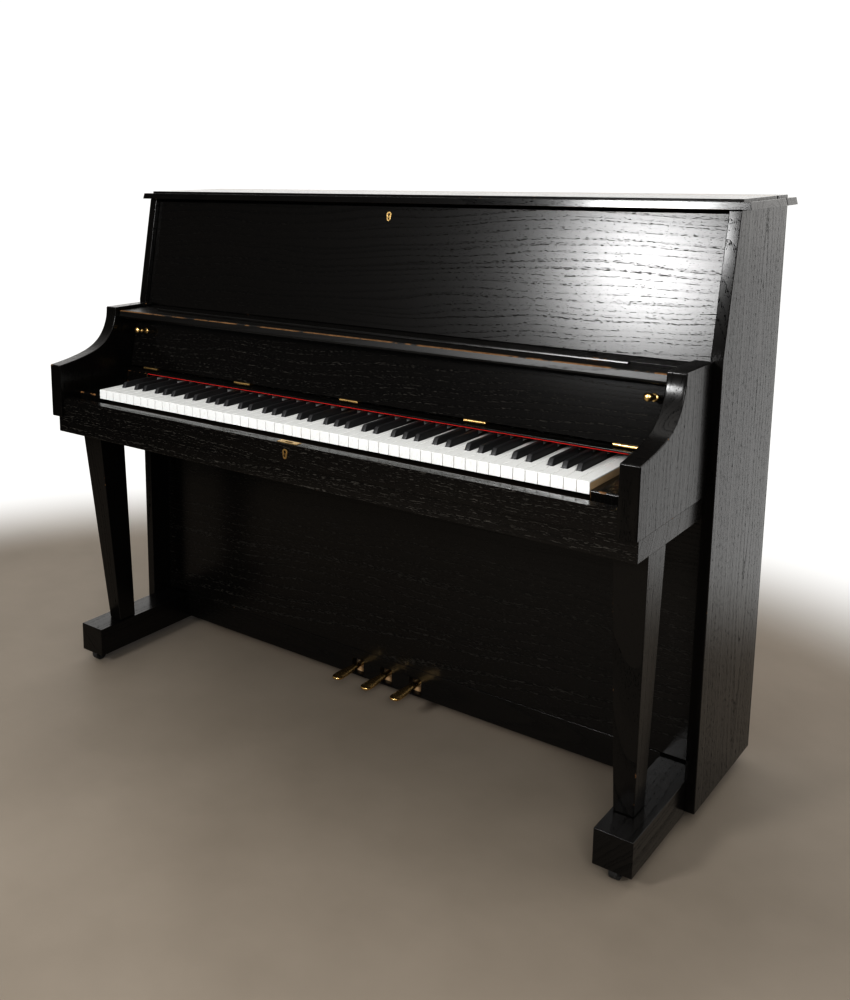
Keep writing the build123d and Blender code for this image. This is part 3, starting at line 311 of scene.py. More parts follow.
# ---- key bed and keyslip ---------------------------------------------------
# The key bed is the thick board that carries the keyboard. The keyslip stands
# on its front edge and hides the key ends. Sleeves have rubbed both arrises.
bed_oak = black_oak("bed_oak", 0, 2, 1, (0.3, 0.30, -0.73), log_depth=0.05, wear=0.35, openness=0.7, dust=2.2)
keyslip_oak = black_oak("keyslip_oak", 0, 2, 1, (-0.4, 0.29, -0.767), log_depth=0.025, wear=0.6,
                        openness=0.7, dust=2.0)
planed("key_bed", bed_oak, 0.0016)
planed("keyslip", keyslip_oak, 0.0020)

# ---- key blocks ------------------------------------------------------------
# Solid blocks beside the last keys, screwed to the key bed. Hands and dusters
# have worn their tops through to the wood. A round bumper on each takes the
# fallboard's knob when it is closed.
block_oak = black_oak("block_oak", 1, 0, 2, (0.21, -0.64, -0.70), log_depth=0.02, wear=0.6)
planed("key_blocks", block_oak, 0.0022)


def black_rubber(name, tint, roughness=0.55):
    """Moulded rubber, dusty in its hollows."""
    made, tree, shader = new_material(name)
    place = node(tree, "ShaderNodeTexCoord").outputs["Object"]
    dust = noise(tree, stretched(tree, place, 180, 180, 180), 3.0)
    grey = tuple(value * 1.9 + 0.01 for value in tint)
    tree.links.new(colour_mix(tree, spread(tree, dust, 0.45, 0.8), (*tint, 1), (*grey, 1)),
                   shader.inputs["Base Color"])
    tree.links.new(sum_of(tree, "MULTIPLY_ADD", dust, 0.25, roughness - 0.1), shader.inputs["Roughness"])
    grit = noise(tree, stretched(tree, place, 1500, 1500, 1500), 1.0)
    relief(tree, shader, grit, 0.2, 0.0002)
    return made


bumper_rubber = black_rubber("bumper_rubber", (0.10, 0.095, 0.088), 0.5)
stand_for("block_bumpers", rounded_copy("key_block_bumpers", 0.0008), bumper_rubber,
          "key_block_bumpers", slot="rubber")

# ---- key frame and keys ----------------------------------------------------
# Beech rails under the keys, coloured near black as painted shade where they lie unlit. Each white key
# is a basswood lever with a cast acrylic top and front, about two millimetres thick, its lips just eased.


def pale_timber(name, along, across, depth, light, dark, ring=0.0035, gloss=0.45):
    """Timber with growth rings and fibre between two tones, grain along one axis."""
    made, tree, shader = new_material(name)
    place = node(tree, "ShaderNodeTexCoord").outputs["Object"]
    laid, grain = laid_grain(tree, place, (along, across, depth), {
        "Ring Spacing": ring, "Pore Width": 0.0005, "Pore Length": 0.006, "Openness": 0.0})
    broad = noise(tree, stretched(tree, laid, 2.5, 14, 14), 3.0)
    tone = sum_of(tree, "MULTIPLY_ADD", grain["Rings"], 0.55, sum_of(tree, "MULTIPLY", broad, 0.5))
    tree.links.new(colour_mix(tree, tone, (*light, 1), (*dark, 1)), shader.inputs["Base Color"])
    tree.links.new(sum_of(tree, "MULTIPLY_ADD", grain["Rings"], 0.12, gloss), shader.inputs["Roughness"])
    relief(tree, shader, grain["Height"], 0.25, 0.0003)
    return made


def white_key_finish():
    """Acrylic above and in front, bare basswood on the sides of the lever."""
    made, tree, shader = new_material("white_key_finish")
    low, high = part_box("white_keys")
    place = node(tree, "ShaderNodeTexCoord").outputs["Object"]
    axes = node(tree, "ShaderNodeSeparateXYZ", {0: place}).outputs
    top = spread(tree, axes[2], high.z - 0.0026, high.z - 0.0022)
    front = spread(tree, axes[1], low.y + 0.0022, low.y + 0.0026, 1.0, 0.0)
    cap = sum_of(tree, "MAXIMUM", top, front)
    grime = noise(tree, stretched(tree, place, 260, 60, 90), 3.0, 0.6)
    acrylic = colour_mix(tree, spread(tree, grime, 0.5, 0.85), (0.83, 0.835, 0.82, 1), (0.74, 0.735, 0.70, 1))
    fibre = noise(tree, stretched(tree, place, 900, 25, 900), 2.0)
    wood = colour_mix(tree, fibre, (0.62, 0.47, 0.30, 1), (0.46, 0.32, 0.18, 1))
    tree.links.new(colour_mix(tree, cap, wood, acrylic), shader.inputs["Base Color"])
    smear = noise(tree, stretched(tree, place, 40, 25, 40), 4.0, 0.6)
    polish = sum_of(tree, "MULTIPLY_ADD", smear, 0.14, 0.08)
    tree.links.new(sum_of(tree, "MULTIPLY_ADD", cap, -0.45, sum_of(tree, "ADD", polish, 0.45)),
                   shader.inputs["Roughness"])
    wave = noise(tree, stretched(tree, place, 120, 30, 60), 2.0)
    relief(tree, shader, wave, 0.08, 0.0003)
    return made


key_white = white_key_finish()
for key in ("white_keys", "key_c_middle", "key_d_middle", "key_e_middle"):
    stand_for(key + "_lever", rounded_copy(key, 0.0007), key_white, key, slot="key_white")
# The near black colour of the rails is painted shade: the pale beech rail lies unlit in the gap before the keys.
rail_painted_shade = pale_timber("rail_painted_shade", 0, 1, 2, (0.030, 0.022, 0.015), (0.016, 0.011, 0.007))


def refinish(name, material):
    """A CAD node kept as it is, with its finish."""
    for held in frame["nodes"][name].material_slots:
        held.material = material


refinish("key_frame", rail_painted_shade)

# ---- black keys ------------------------------------------------------------
# Moulded sharps glued on bare wooden levers, the levers coloured near black as painted shade. The sharps are
# narrower at the top than at the foot, rounded over, and sloped at the front where the finger meets them.


def solids_of(name):
    """Lowest and highest corner of each separate solid in a CAD node."""
    shape = bmesh.new()
    shape.from_mesh(frame["nodes"][name].data)
    bmesh.ops.remove_doubles(shape, verts=shape.verts, dist=1e-6)
    waiting = set(shape.verts)
    found = []
    while waiting:
        island = [waiting.pop()]
        for vert in island:
            for edge in vert.link_edges:
                other = edge.other_vert(vert)
                if other in waiting:
                    waiting.remove(other)
                    island.append(other)
        found.append((Vector([min(v.co[i] for v in island) for i in range(3)]),
                      Vector([max(v.co[i] for v in island) for i in range(3)])))
    shape.free()
    return sorted(found, key=lambda box: (round(box[0].x + box[1].x, 4), box[0].z))


def build_set_out():
    """Geometry nodes that set one piece out at every given point, a little unevenly."""
    tree = bpy.data.node_groups.new("set_out", "GeometryNodeTree")
    sockets(tree,
            [("Places", "Geometry", None), ("Piece", "Object", None), ("Unevenness", "Float", 0.0),
             ("Seed", "Int", 7), ("Finish", "Material", None)], [("Row", "Geometry")])
    given = tree.nodes.new("NodeGroupInput")
    result = tree.nodes.new("NodeGroupOutput")
    piece = node(tree, "GeometryNodeObjectInfo", {"Object": given.outputs["Piece"]})
    row = node(tree, "GeometryNodeInstanceOnPoints",
               {"Points": given.outputs["Places"], "Instance": piece.outputs["Geometry"]})
    spread_by = node(tree, "FunctionNodeRandomValue",
                     {0: (-1.0, -1.0, -1.0), 1: (1.0, 1.0, 1.0), "Seed": given.outputs["Seed"]},
                     data_type="FLOAT_VECTOR")
    nudge = node(tree, "ShaderNodeVectorMath", {0: spread_by.outputs[0], "Scale": given.outputs["Unevenness"]},
                 operation="SCALE")
    moved = node(tree, "GeometryNodeTranslateInstances",
                 {"Instances": row.outputs["Instances"], "Translation": nudge.outputs[0]})
    real = node(tree, "GeometryNodeRealizeInstances", {"Geometry": moved.outputs["Instances"]})
    painted = node(tree, "GeometryNodeSetMaterial",
                   {"Geometry": real.outputs["Geometry"], "Material": given.outputs["Finish"]})
    tree.links.new(painted.outputs["Geometry"], result.inputs["Row"])
    return tree


set_out = build_set_out()


def run_tree(tree, points, edges, values):
    """Plain mesh that a geometry tree makes from points and its named inputs."""
    seed_mesh = bpy.data.meshes.new("places")
    seed_mesh.from_pydata([tuple(point) for point in points], edges, [])
    carrier = bpy.data.objects.new("places", seed_mesh)
    bpy.context.scene.collection.objects.link(carrier)
    modifier = carrier.modifiers.new("tree", "NODES")
    modifier.node_group = tree
    for item in tree.interface.items_tree:
        if item.item_type == "SOCKET" and item.in_out == "INPUT" and item.name in values:
            modifier[item.identifier] = values[item.name]
    evaluated = carrier.evaluated_get(bpy.context.evaluated_depsgraph_get())
    made = bpy.data.meshes.new_from_object(evaluated)
    carrier.modifiers.clear()
    bpy.data.objects.remove(carrier)
    bpy.data.meshes.remove(seed_mesh)
    return made


def set_out_row(shape_mesh, places, finish, unevenness=0.0, seed=7):
    """One mesh with a copy of a shape at every place."""
    pattern = bpy.data.objects.new("pattern", shape_mesh)
    made = run_tree(set_out, places, [],
                    {"Piece": pattern, "Unevenness": unevenness, "Seed": seed, "Finish": finish})
    bpy.data.objects.remove(pattern)
    return made


def mesh_from(shape, name, smooth_angle=38):
    """Finished mesh from a bmesh, faces outward, smooth up to an angle."""
    bmesh.ops.remove_doubles(shape, verts=shape.verts, dist=1e-7)
    bmesh.ops.recalc_face_normals(shape, faces=shape.faces)
    made = bpy.data.meshes.new(name)
    shape.to_mesh(made)
    shape.free()
    made.polygons.foreach_set("use_smooth", [True] * len(made.polygons))
    made.set_sharp_from_angle(angle=math.radians(smooth_angle))
    return made


def lofted(shape, rings, closed=True):
    """Skin over rings of points of equal count, with flat end caps."""
    rows = [[shape.verts.new(point) for point in ring] for ring in rings]
    for low, high in zip(rows, rows[1:]):
        for i in range(len(low)):
            j = (i + 1) % len(low)
            shape.faces.new((low[i], low[j], high[j], high[i]))
    if closed:
        shape.faces.new(list(reversed(rows[0])))
        shape.faces.new(rows[-1])
    return shape


sharp_height = 0.0135
half_foot = 0.0053


def sharp_mesh():
    """One sharp, its crown rounded across and sloped down to the front."""
    low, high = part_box("black_keys")
    front = low.y
    foot = high.z - sharp_height
    shape = bmesh.new()
    rings = []
    for along, top, half in ((0.0, 0.0015, 0.0040), (0.0012, 0.0045, 0.0044), (0.0045, 0.0105, 0.0046),
                             (0.0068, 0.0126, 0.0046), (0.0100, 0.0134, 0.0046), (0.0200, 0.0135, 0.0046),
                             (0.1055, 0.0135, 0.0046), (0.1068, 0.0130, 0.0044), (0.1070, 0.0110, 0.0043)):
        crown = foot + top
        soft = min(0.0016, top * 0.5)
        side = half + (half_foot - half) * min(1.0, soft / max(top, 0.001))
        rings.append([(x, front + along, z) for x, z in (
            (-half_foot, foot), (half_foot, foot), (side, crown - soft), (half - soft * 0.35, crown - soft * 0.25),
            (half - soft, crown), (-half + soft, crown), (-half + soft * 0.35, crown - soft * 0.25),
            (-side, crown - soft))])
    lofted(shape, rings)
    return mesh_from(shape, "sharp", 50)


def lever_mesh():
    """Wooden lever under one sharp."""
    low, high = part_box("black_keys")
    stick = solids_of("key_c_sharp_middle")[0]
    half = (stick[1].x - stick[0].x) / 2
    top = high.z - sharp_height
    shape = bmesh.new()
    lofted(shape, [[(x * half, y, z) for x, z in ((-1, low.z), (1, low.z), (1, top), (-1, top))]
                   for y in (low.y + 0.0005, high.y)])
    return mesh_from(shape, "lever")


def sharp_finish():
    """Satin black moulding, rubbed a little brighter along its crown."""
    made, tree, shader = new_material("sharp_finish")
    place = node(tree, "ShaderNodeTexCoord").outputs["Object"]
    rub = noise(tree, stretched(tree, place, 90, 30, 90), 4.0, 0.6)
    tree.links.new(colour_mix(tree, rub, (0.011, 0.011, 0.012, 1), (0.026, 0.026, 0.027, 1)),
                   shader.inputs["Base Color"])
    tree.links.new(sum_of(tree, "MULTIPLY_ADD", rub, 0.22, 0.34), shader.inputs["Roughness"])
    fine = noise(tree, stretched(tree, place, 1800, 500, 1800), 1.0)
    relief(tree, shader, fine, 0.12, 0.0002)
    return made


def go_with(name, mesh, cad_node):
    """A second piece that shares a CAD node with the one that stands for it."""
    piece = bpy.data.objects.new(name, mesh)
    bpy.context.scene.collection.objects.link(piece)
    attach(piece, frame["nodes"][cad_node]["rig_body"])


key_black = sharp_finish()
# The near black lever colour is painted shade: the bare wood levers lie in shadow under the sharps.
lever_painted_shade = pale_timber("lever_painted_shade", 1, 0, 2, (0.030, 0.024, 0.018), (0.016, 0.012, 0.009))
sharp = sharp_mesh()
lever = lever_mesh()
for key in ("black_keys", "key_c_sharp_middle", "key_d_sharp_middle"):
    middles = [((low.x + high.x) / 2, 0.0, 0.0) for low, high in solids_of(key)]
    stand_for(key + "_sharps", set_out_row(sharp, middles, key_black), key_black, key, slot="key_black")
    go_with(key + "_levers", set_out_row(lever, middles, lever_painted_shade), key)

# ---- name rail and felt ----------------------------------------------------
# The rail across the back of the keys carries the fallboard's hinges. A strip
# of red felt under its front edge keeps the keys quiet and the dust out.
rail_oak = black_oak("rail_oak", 0, 2, 1, (0.1, -0.7, 0.15), log_depth=0.03)
planed("name_rail", rail_oak, 0.0010)


def pressed_felt(name, light, dark, nap=1400):
    """Wool felt with a fine nap and a soft sheen."""
    made, tree, shader = new_material(name)
    place = node(tree, "ShaderNodeTexCoord").outputs["Object"]
    wool = noise(tree, stretched(tree, place, nap, nap, nap), 3.0, 0.7)
    cloud = noise(tree, stretched(tree, place, 60, 60, 60), 2.0)
    tone = sum_of(tree, "MULTIPLY_ADD", wool, 0.6, sum_of(tree, "MULTIPLY", cloud, 0.4))
    tree.links.new(colour_mix(tree, tone, (*dark, 1), (*light, 1)), shader.inputs["Base Color"])
    shader.inputs["Roughness"].default_value = 0.95
    shader.inputs["Sheen Weight"].default_value = 0.08
    shader.inputs["Sheen Roughness"].default_value = 0.4
    relief(tree, shader, wool, 0.6, 0.0006)
    return made


red_felt = pressed_felt("red_felt", (0.78, 0.020, 0.012), (0.45, 0.006, 0.005))
felt_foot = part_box("key_felt")[0].z
felt_share = 0.55


def pressed_flat(point):
    """The strip pressed down under the rail to a share of its height."""
    return Vector((point.x, point.y, felt_foot + (point.z - felt_foot) * felt_share))


stand_for("key_felt_strip", rounded_copy("key_felt", 0.0007, reshape=pressed_flat), red_felt,
          "key_felt", slot="red_felt")

# ---- fallboard -------------------------------------------------------------
# A leaning main leaf and a level nose leaf, both veneered along the keyboard.
# The nose folds back on three hinges and its front arris is the most handled
# edge of the case, so its lacquer is rubbed through in patches.
leaf_oak = black_oak("leaf_oak", 0, 2, 1, (0.55, -0.83, 0.08), log_depth=0.03, tilt=0.03, pore_width=0.0012,
                     gloss=0.13, openness=0.6, dust=1.6)
nose_oak = black_oak("nose_oak", 0, 2, 1, (-0.2, -0.90, 0.12), log_depth=0.02, wear=0.8, gloss=0.36)
planed("fallboard_main_leaf", leaf_oak, 0.0014)
nose_low, nose_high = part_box("fallboard_front_leaf")
nose_slope = 0.26


def lean_nose(point):
    """Front edge of the shelf leaning back a little towards its top."""
    if point.y > nose_low.y + 0.002:
        return point
    return Vector((point.x, point.y + (point.z - nose_low.z) * nose_slope, point.z))


nose_mesh = rounded_copy("fallboard_front_leaf", 0.0009, reshape=lean_nose)
for face in nose_mesh.polygons:
    if face.center.z < nose_high.z - 0.003:
        nose_mesh.attributes["arris"].data[face.index].value = 0.0
stand_for("fallboard_front_leaf_board", nose_mesh, nose_oak, "fallboard_front_leaf", slot="ebony_wood")
planed("music_stop", black_oak("stop_oak", 0, 1, 2, (0.0, 0.07, -0.88), wear=0.3), 0.0012)

# ---- music shelf -----------------------------------------------------------
# The fixed rear part of the shelf, an oak board let in between the arms and
# the sides. The nose leaf carries on its surface to the front.
shelf_oak = black_oak("shelf_oak", 0, 1, 2, (0.25, 0.03, -0.88), log_depth=0.03)
planed("music_shelf", shelf_oak, 0.0012)

# ---- upper and lower panels ------------------------------------------------
# Veneered panels that tilt forward to reach the action and the pedal rods.
# The figure runs along the piano in long low arches.
upper_oak = black_oak("upper_oak", 0, 2, 1, (0.35, -1.02, -0.02), log_depth=0.045, tilt=0.035,
                      pore_width=0.0014, gloss=0.22, openness=0.95, dust=0.4)
lower_oak = black_oak("lower_oak", 0, 2, 1, (-0.15, -0.43, -0.06), log_depth=0.045, tilt=0.03,
                      pore_width=0.0013, openness=0.6, dust=1.2)
planed("upper_panel", upper_oak, 0.0014)
planed("lower_panel", lower_oak, 0.0014)

# ---- bottom rail, bottom board, toe beams and legs -------------------------
# The plinth under the lower panel, the floor of the case behind it, the beams
# that carry sides and casters, and the tapered front legs that stand on them.
plinth_oak = black_oak("plinth_oak", 0, 2, 1, (0.0, -0.06, -0.06), log_depth=0.03)
toe_oak = black_oak("toe_oak", 1, 2, 0, (0.1, -0.06, -0.7), log_depth=0.03, wear=0.3, openness=0.2, gloss=0.2,
                    dust=0.1)
leg_oak = black_oak("leg_oak", 2, 0, 1, (-0.68, 0.21, 0.1), log_depth=0.09, wear=0.35, openness=0.2, dust=0.1)
planed("bottom_rail", plinth_oak, 0.0012)
planed("toe_beams", toe_oak, 0.0022)
planed("front_legs", leg_oak, 0.0018)
floor_ply = pale_timber("floor_ply", 0, 1, 2, (0.50, 0.36, 0.22), (0.36, 0.23, 0.12), ring=0.012)
planed("bottom_board", floor_ply, 0.0010, slot="back_wood")

# ---- lid -------------------------------------------------------------------
# Two boards with a stepped edge: a thicker lower moulding and a thin top that
# sits back from it. The front board folds back on a continuous line of hinges.
lid_oak = black_oak("lid_oak", 0, 1, 2, (0.1, -0.15, -1.16), log_depth=0.03, tilt=0.03, wear=0.35, gloss=0.16,
                    openness=0.1, dust=0.1)
lid_low, lid_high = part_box("lid_front")
moulding_height, end_lean, front_lean = 0.006, 0.0034, 0.0019


def moulded_edge(point):
    """The lower moulding of the lid leans in above its middle, in front and at both ends."""
    x, y, z = point
    if z > lid_low.z + moulding_height:
        x = max(lid_low.x + end_lean, min(lid_high.x - end_lean, x))
        y = max(lid_low.y + front_lean, y)
    return Vector((x, y, z))


for board in ("lid_front", "lid_rear"):
    stand_for(board + "_board", rounded_copy(board, 0.0012, reshape=moulded_edge), lid_oak, board, slot="ebony_wood")

# ---- brass: escutcheons, lock plate, hinges and knobs ----------------------
# Stamped and turned brass, lacquered once and now a little tarnished: pinned
# keyhole plates, butt hinges let into the leaves, and two turned pull knobs.


def aged_brass(name, polish=0.16, tarnish=0.5):
    """Brass, brightest where it is handled and brown in its hollows."""
    made, tree, shader = new_material(name)
    place = node(tree, "ShaderNodeTexCoord").outputs["Object"]
    cloud = noise(tree, stretched(tree, place, 160, 160, 160), 4.0, 0.65)
    brown = sum_of(tree, "MULTIPLY", spread(tree, cloud, 0.48, 0.75), tarnish)
    tree.links.new(colour_mix(tree, brown, (0.80, 0.56, 0.25, 1), (0.30, 0.17, 0.06, 1)),
                   shader.inputs["Base Color"])
    shader.inputs["Metallic"].default_value = 1.0
    tree.links.new(sum_of(tree, "MULTIPLY_ADD", cloud, 0.28, polish), shader.inputs["Roughness"])
    scratch = noise(tree, stretched(tree, place, 300, 2600, 2600), 2.0)
    relief(tree, shader, scratch, 0.15, 0.0001)
    return made


brass = aged_brass("aged_brass")
for fitting in ("panel_lock", "keyslip_lock", "leaf_hinge_plates", "leaf_hinge_flaps", "fold_hinge_plates",
                "fold_hinge_flaps", "lid_hinge_fixed", "lid_hinge_moving"):
    stand_for(fitting + "_brass", rounded_copy(fitting, 0.00025), brass, fitting, slot="brass")


def smooth_profile(points, parts=5):
    """Points of a curve that passes through every given point."""
    padded = [points[0]] + list(points) + [points[-1]]
    curve = []
    for a, b, c, d in zip(padded, padded[1:], padded[2:], padded[3:]):
        for step in range(parts):
            t = step / parts
            curve.append(tuple(0.5 * (2 * q + (r - p) * t + (2 * p - 5 * q + 4 * r - s) * t * t
                                      + (3 * q - p - 3 * r + s) * t ** 3)
                               for p, q, r, s in zip(a, b, c, d)))
    return curve + [points[-1]]


def turned(shape, origin, axis, profile, sides=32):
    """Turned solid: a profile of (distance, radius) spun about an axis."""
    axis = Vector(axis).normalized()
    side = axis.orthogonal().normalized()
    other = axis.cross(side)
    rings = []
    for distance, radius in profile:
        rings.append([Vector(origin) + axis * distance
                      + (side * math.cos(turn) + other * math.sin(turn)) * max(radius, 1e-5)
                      for turn in [2 * math.pi * i / sides for i in range(sides)]])
    lofted(shape, rings)


leaf_lean = math.radians(11)
knob_profile = smooth_profile([(0.0001, 0.0074), (0.0013, 0.0079), (0.0024, 0.0068), (0.0036, 0.0040),
                               (0.0075, 0.0027), (0.0115, 0.0030), (0.0145, 0.0056), (0.0165, 0.0064),
                               (0.0185, 0.0055), (0.0215, 0.0034), (0.0245, 0.0034), (0.0275, 0.0060),
                               (0.0305, 0.0079), (0.0330, 0.0074), (0.0352, 0.0044), (0.0359, 0.0)])
knobs = bmesh.new()
for low, high in solids_of("fallboard_knobs"):
    foot = ((low.x + high.x) / 2, high.y - 0.0014, high.z - 0.01445)
    turned(knobs, foot, (0, -math.cos(leaf_lean), math.sin(leaf_lean)), knob_profile)
stand_for("pull_knobs", mesh_from(knobs, "pull_knobs"), brass, "fallboard_knobs", slot="brass")

# ---- pedals ----------------------------------------------------------------
# Cast brass pedals, broad and rounded at the tip, that rock on steel brackets
# screwed to the bottom board. Shoes keep the tips bright.
pedal_brass = aged_brass("pedal_brass", polish=0.10, tarnish=0.25)


def pedal_mesh(name):
    """One pedal: rounded sections along its length, wide tip to narrow tail."""
    low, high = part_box(name)
    middle = (low.x + high.x) / 2
    level = (low.z + high.z) / 2
    reach = high.y - low.y
    shape = bmesh.new()
    rings = []
    for along, half, thick in ((0.0, 0.0030, 0.0012), (0.0012, 0.0066, 0.0026), (0.004, 0.0100, 0.0036),
                               (0.009, 0.0121, 0.0040), (0.018, 0.0129, 0.0040), (0.032, 0.0128, 0.0040),
                               (0.055, 0.0108, 0.0040), (0.080, 0.0080, 0.0041), (0.110, 0.0069, 0.0046),
                               (reach * 0.8, 0.0068, 0.0048), (reach - 0.001, 0.0066, 0.0046),
                               (reach, 0.0058, 0.0038)):
        ring = []
        for i in range(20):
            turn = 2 * math.pi * (i + 0.5) / 20
            c, s = math.cos(turn), math.sin(turn)
            ring.append((middle + half * math.copysign(abs(c) ** 0.55, c), low.y + along,
                         level + thick * math.copysign(abs(s) ** 0.55, s)))
        rings.append(ring)
    lofted(shape, rings)
    return mesh_from(shape, name + "_casting", 60)


for pedal in ("pedal_left", "pedal_middle", "pedal_right"):
    stand_for(pedal + "_casting", pedal_mesh(pedal), pedal_brass, pedal, slot="brass")


def plain_metal(name, light, dark, polish, grain=(700, 700, 700), metallic=1.0, bump_by=0.1):
    """Bare or painted metal with fine tooling marks and uneven polish."""
    made, tree, shader = new_material(name)
    place = node(tree, "ShaderNodeTexCoord").outputs["Object"]
    marks = noise(tree, stretched(tree, place, *grain), 3.0, 0.6)
    cloud = noise(tree, stretched(tree, place, 45, 45, 45), 3.0)
    tone = sum_of(tree, "MULTIPLY_ADD", marks, 0.5, sum_of(tree, "MULTIPLY", cloud, 0.5))
    tree.links.new(colour_mix(tree, tone, (*light, 1), (*dark, 1)), shader.inputs["Base Color"])
    shader.inputs["Metallic"].default_value = metallic
    tree.links.new(sum_of(tree, "MULTIPLY_ADD", tone, 0.22, polish), shader.inputs["Roughness"])
    relief(tree, shader, marks, bump_by, 0.0003)
    return made


bracket_steel = plain_metal("bracket_steel", (0.50, 0.50, 0.51), (0.33, 0.32, 0.31), 0.28)
refinish("pedal_brackets", bracket_steel)

# ---- casters ---------------------------------------------------------------
# Pressed steel forks painted black, with hard rubber wheels on steel axles.
# The front pair swivels in the toe beams.
fork_black = plain_metal("fork_black", (0.030, 0.030, 0.031), (0.016, 0.016, 0.016), 0.30, metallic=0.0)
wheel_rubber = black_rubber("wheel_rubber", (0.020, 0.020, 0.020), 0.6)
for fork in ("caster_fork_front_left", "caster_fork_front_right", "caster_forks_rear"):
    stand_for(fork + "_steel", rounded_copy(fork, 0.0005), fork_black, fork, slot="black_metal")
for wheel in ("caster_wheel_front_left", "caster_wheel_front_right", "caster_wheels_rear"):
    stand_for(wheel + "_tread", rounded_copy(wheel, 0.0012), wheel_rubber, wheel, slot="caster_rubber")

# ---- wooden back, pin block, soundboard and bridges ------------------------
# Five posts between top and bottom rails, glued up in clear hardwood, with a
# maple pin block above and a spruce soundboard ribbed on its rear face.
back_wood = pale_timber("back_wood", 2, 0, 1, (0.50, 0.33, 0.19), (0.33, 0.20, 0.10), ring=0.006, gloss=0.38)
maple = pale_timber("maple", 0, 2, 1, (0.60, 0.44, 0.28), (0.46, 0.31, 0.18), ring=0.0025, gloss=0.4)
spruce = pale_timber("spruce", 0, 2, 1, (0.68, 0.48, 0.26), (0.50, 0.31, 0.14), ring=0.0022, gloss=0.3)
refinish("back_frame", back_wood)
planed("soundboard", spruce, 0.0010, slot="spruce")
refinish("pin_block", maple)
refinish("bridges", maple)

# ---- iron plate ------------------------------------------------------------
# Cast iron frame that takes the pull of the strings, sand textured and
# sprayed with bronze lacquer.
bronze = plain_metal("bronze_lacquer", (0.52, 0.37, 0.15), (0.40, 0.27, 0.10), 0.34, grain=(420, 420, 420),
                     metallic=0.55, bump_by=0.35)
refinish("iron_plate", bronze)

# ---- strings and tuning pins -----------------------------------------------
# The bass strings are single, steel wound with copper. Every other note has
# three plain steel strings. Each ends in a coil round a blued tuning pin.


def build_wire_along():
    """Geometry nodes that draw every given line as a round wire."""
    tree = bpy.data.node_groups.new("wire_along", "GeometryNodeTree")
    sockets(tree, [("Lines", "Geometry", None), ("Gauge", "Float", 0.001), ("Sides", "Int", 6),
                   ("Finish", "Material", None)], [("Wire", "Geometry")])
    given = tree.nodes.new("NodeGroupInput")
    result = tree.nodes.new("NodeGroupOutput")
    path = node(tree, "GeometryNodeMeshToCurve", {"Mesh": given.outputs["Lines"]})
    ring = node(tree, "GeometryNodeCurvePrimitiveCircle",
                {"Resolution": given.outputs["Sides"],
                 "Radius": sum_of(tree, "MULTIPLY", given.outputs["Gauge"], 0.5)})
    wire = node(tree, "GeometryNodeCurveToMesh",
                {"Curve": path.outputs["Curve"], "Profile Curve": ring.outputs["Curve"], "Fill Caps": True})
    real = node(tree, "GeometryNodeRealizeInstances", {"Geometry": wire.outputs["Mesh"]})
    painted = node(tree, "GeometryNodeSetMaterial",
                   {"Geometry": real.outputs["Geometry"], "Material": given.outputs["Finish"]})
    tree.links.new(painted.outputs["Geometry"], result.inputs["Wire"])
    return tree


def wound_copper():
    """Copper winding, ribbed along the string."""
    made, tree, shader = new_material("wound_copper")
    place = node(tree, "ShaderNodeTexCoord").outputs["Object"]
    turn = sum_of(tree, "MULTIPLY", node(tree, "ShaderNodeSeparateXYZ", {0: place}).outputs[2], 5200.0)
    ribs = sum_of(tree, "MULTIPLY_ADD", sum_of(tree, "SINE", turn), 0.5, 0.5)
    tree.links.new(colour_mix(tree, ribs, (0.30, 0.12, 0.06, 1), (0.66, 0.31, 0.17, 1)),
                   shader.inputs["Base Color"])
    shader.inputs["Metallic"].default_value = 1.0
    tree.links.new(sum_of(tree, "MULTIPLY_ADD", ribs, -0.15, 0.42), shader.inputs["Roughness"])
    relief(tree, shader, ribs, 0.4, 0.0002)
    return made


wire_along = build_wire_along()
plain_wire = plain_metal("plain_wire", (0.62, 0.62, 0.63), (0.45, 0.45, 0.46), 0.16)
copper = wound_copper()
wires = {"bass": ([], copper, 0.0027, 8), "treble": ([], plain_wire, 0.0010, 5)}
for low, high in solids_of("strings"):
    register = "bass" if high.x - low.x > 0.002 else "treble"
    for shift in ((0.0,) if register == "bass" else (-0.0024, 0.0, 0.0024)):
        x = (low.x + high.x) / 2 + shift
        y = (low.y + high.y) / 2
        wires[register][0].extend([(x, y, low.z), (x, y, high.z)])
string_meshes = []
for points, finish, gauge, sides in wires.values():
    pairs = [(i, i + 1) for i in range(0, len(points), 2)]
    string_meshes.append(run_tree(wire_along, points, pairs, {"Gauge": gauge, "Sides": sides, "Finish": finish}))
stand_for("bass_strings", string_meshes[0], copper, "strings", slot="steel")
go_with("treble_strings", string_meshes[1], "strings")

pin_low, pin_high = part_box("tuning_pins")
pin_shape = bmesh.new()
turned(pin_shape, (0, pin_low.y, 0), (0, 1, 0),
       [(0.0, 0.0022), (0.0008, 0.0027), (0.010, 0.0030), (0.0125, 0.0034), (0.0130, 0.0034),
        (0.0136, 0.0043), (0.0142, 0.0034), (0.0148, 0.0043), (0.0154, 0.0034), (0.0160, 0.0043),
        (0.0166, 0.0034), (pin_high.y - pin_low.y, 0.0034)], sides=8)
pin_places = [((low.x + high.x) / 2, 0.0, (low.z + high.z) / 2) for low, high in solids_of("tuning_pins")]
pin_steel = plain_metal("pin_steel", (0.30, 0.31, 0.36), (0.18, 0.18, 0.20), 0.2)
stand_for("tuning_pin_row", set_out_row(mesh_from(pin_shape, "pin", 30), pin_places, pin_steel), pin_steel,
          "tuning_pins", slot="steel")

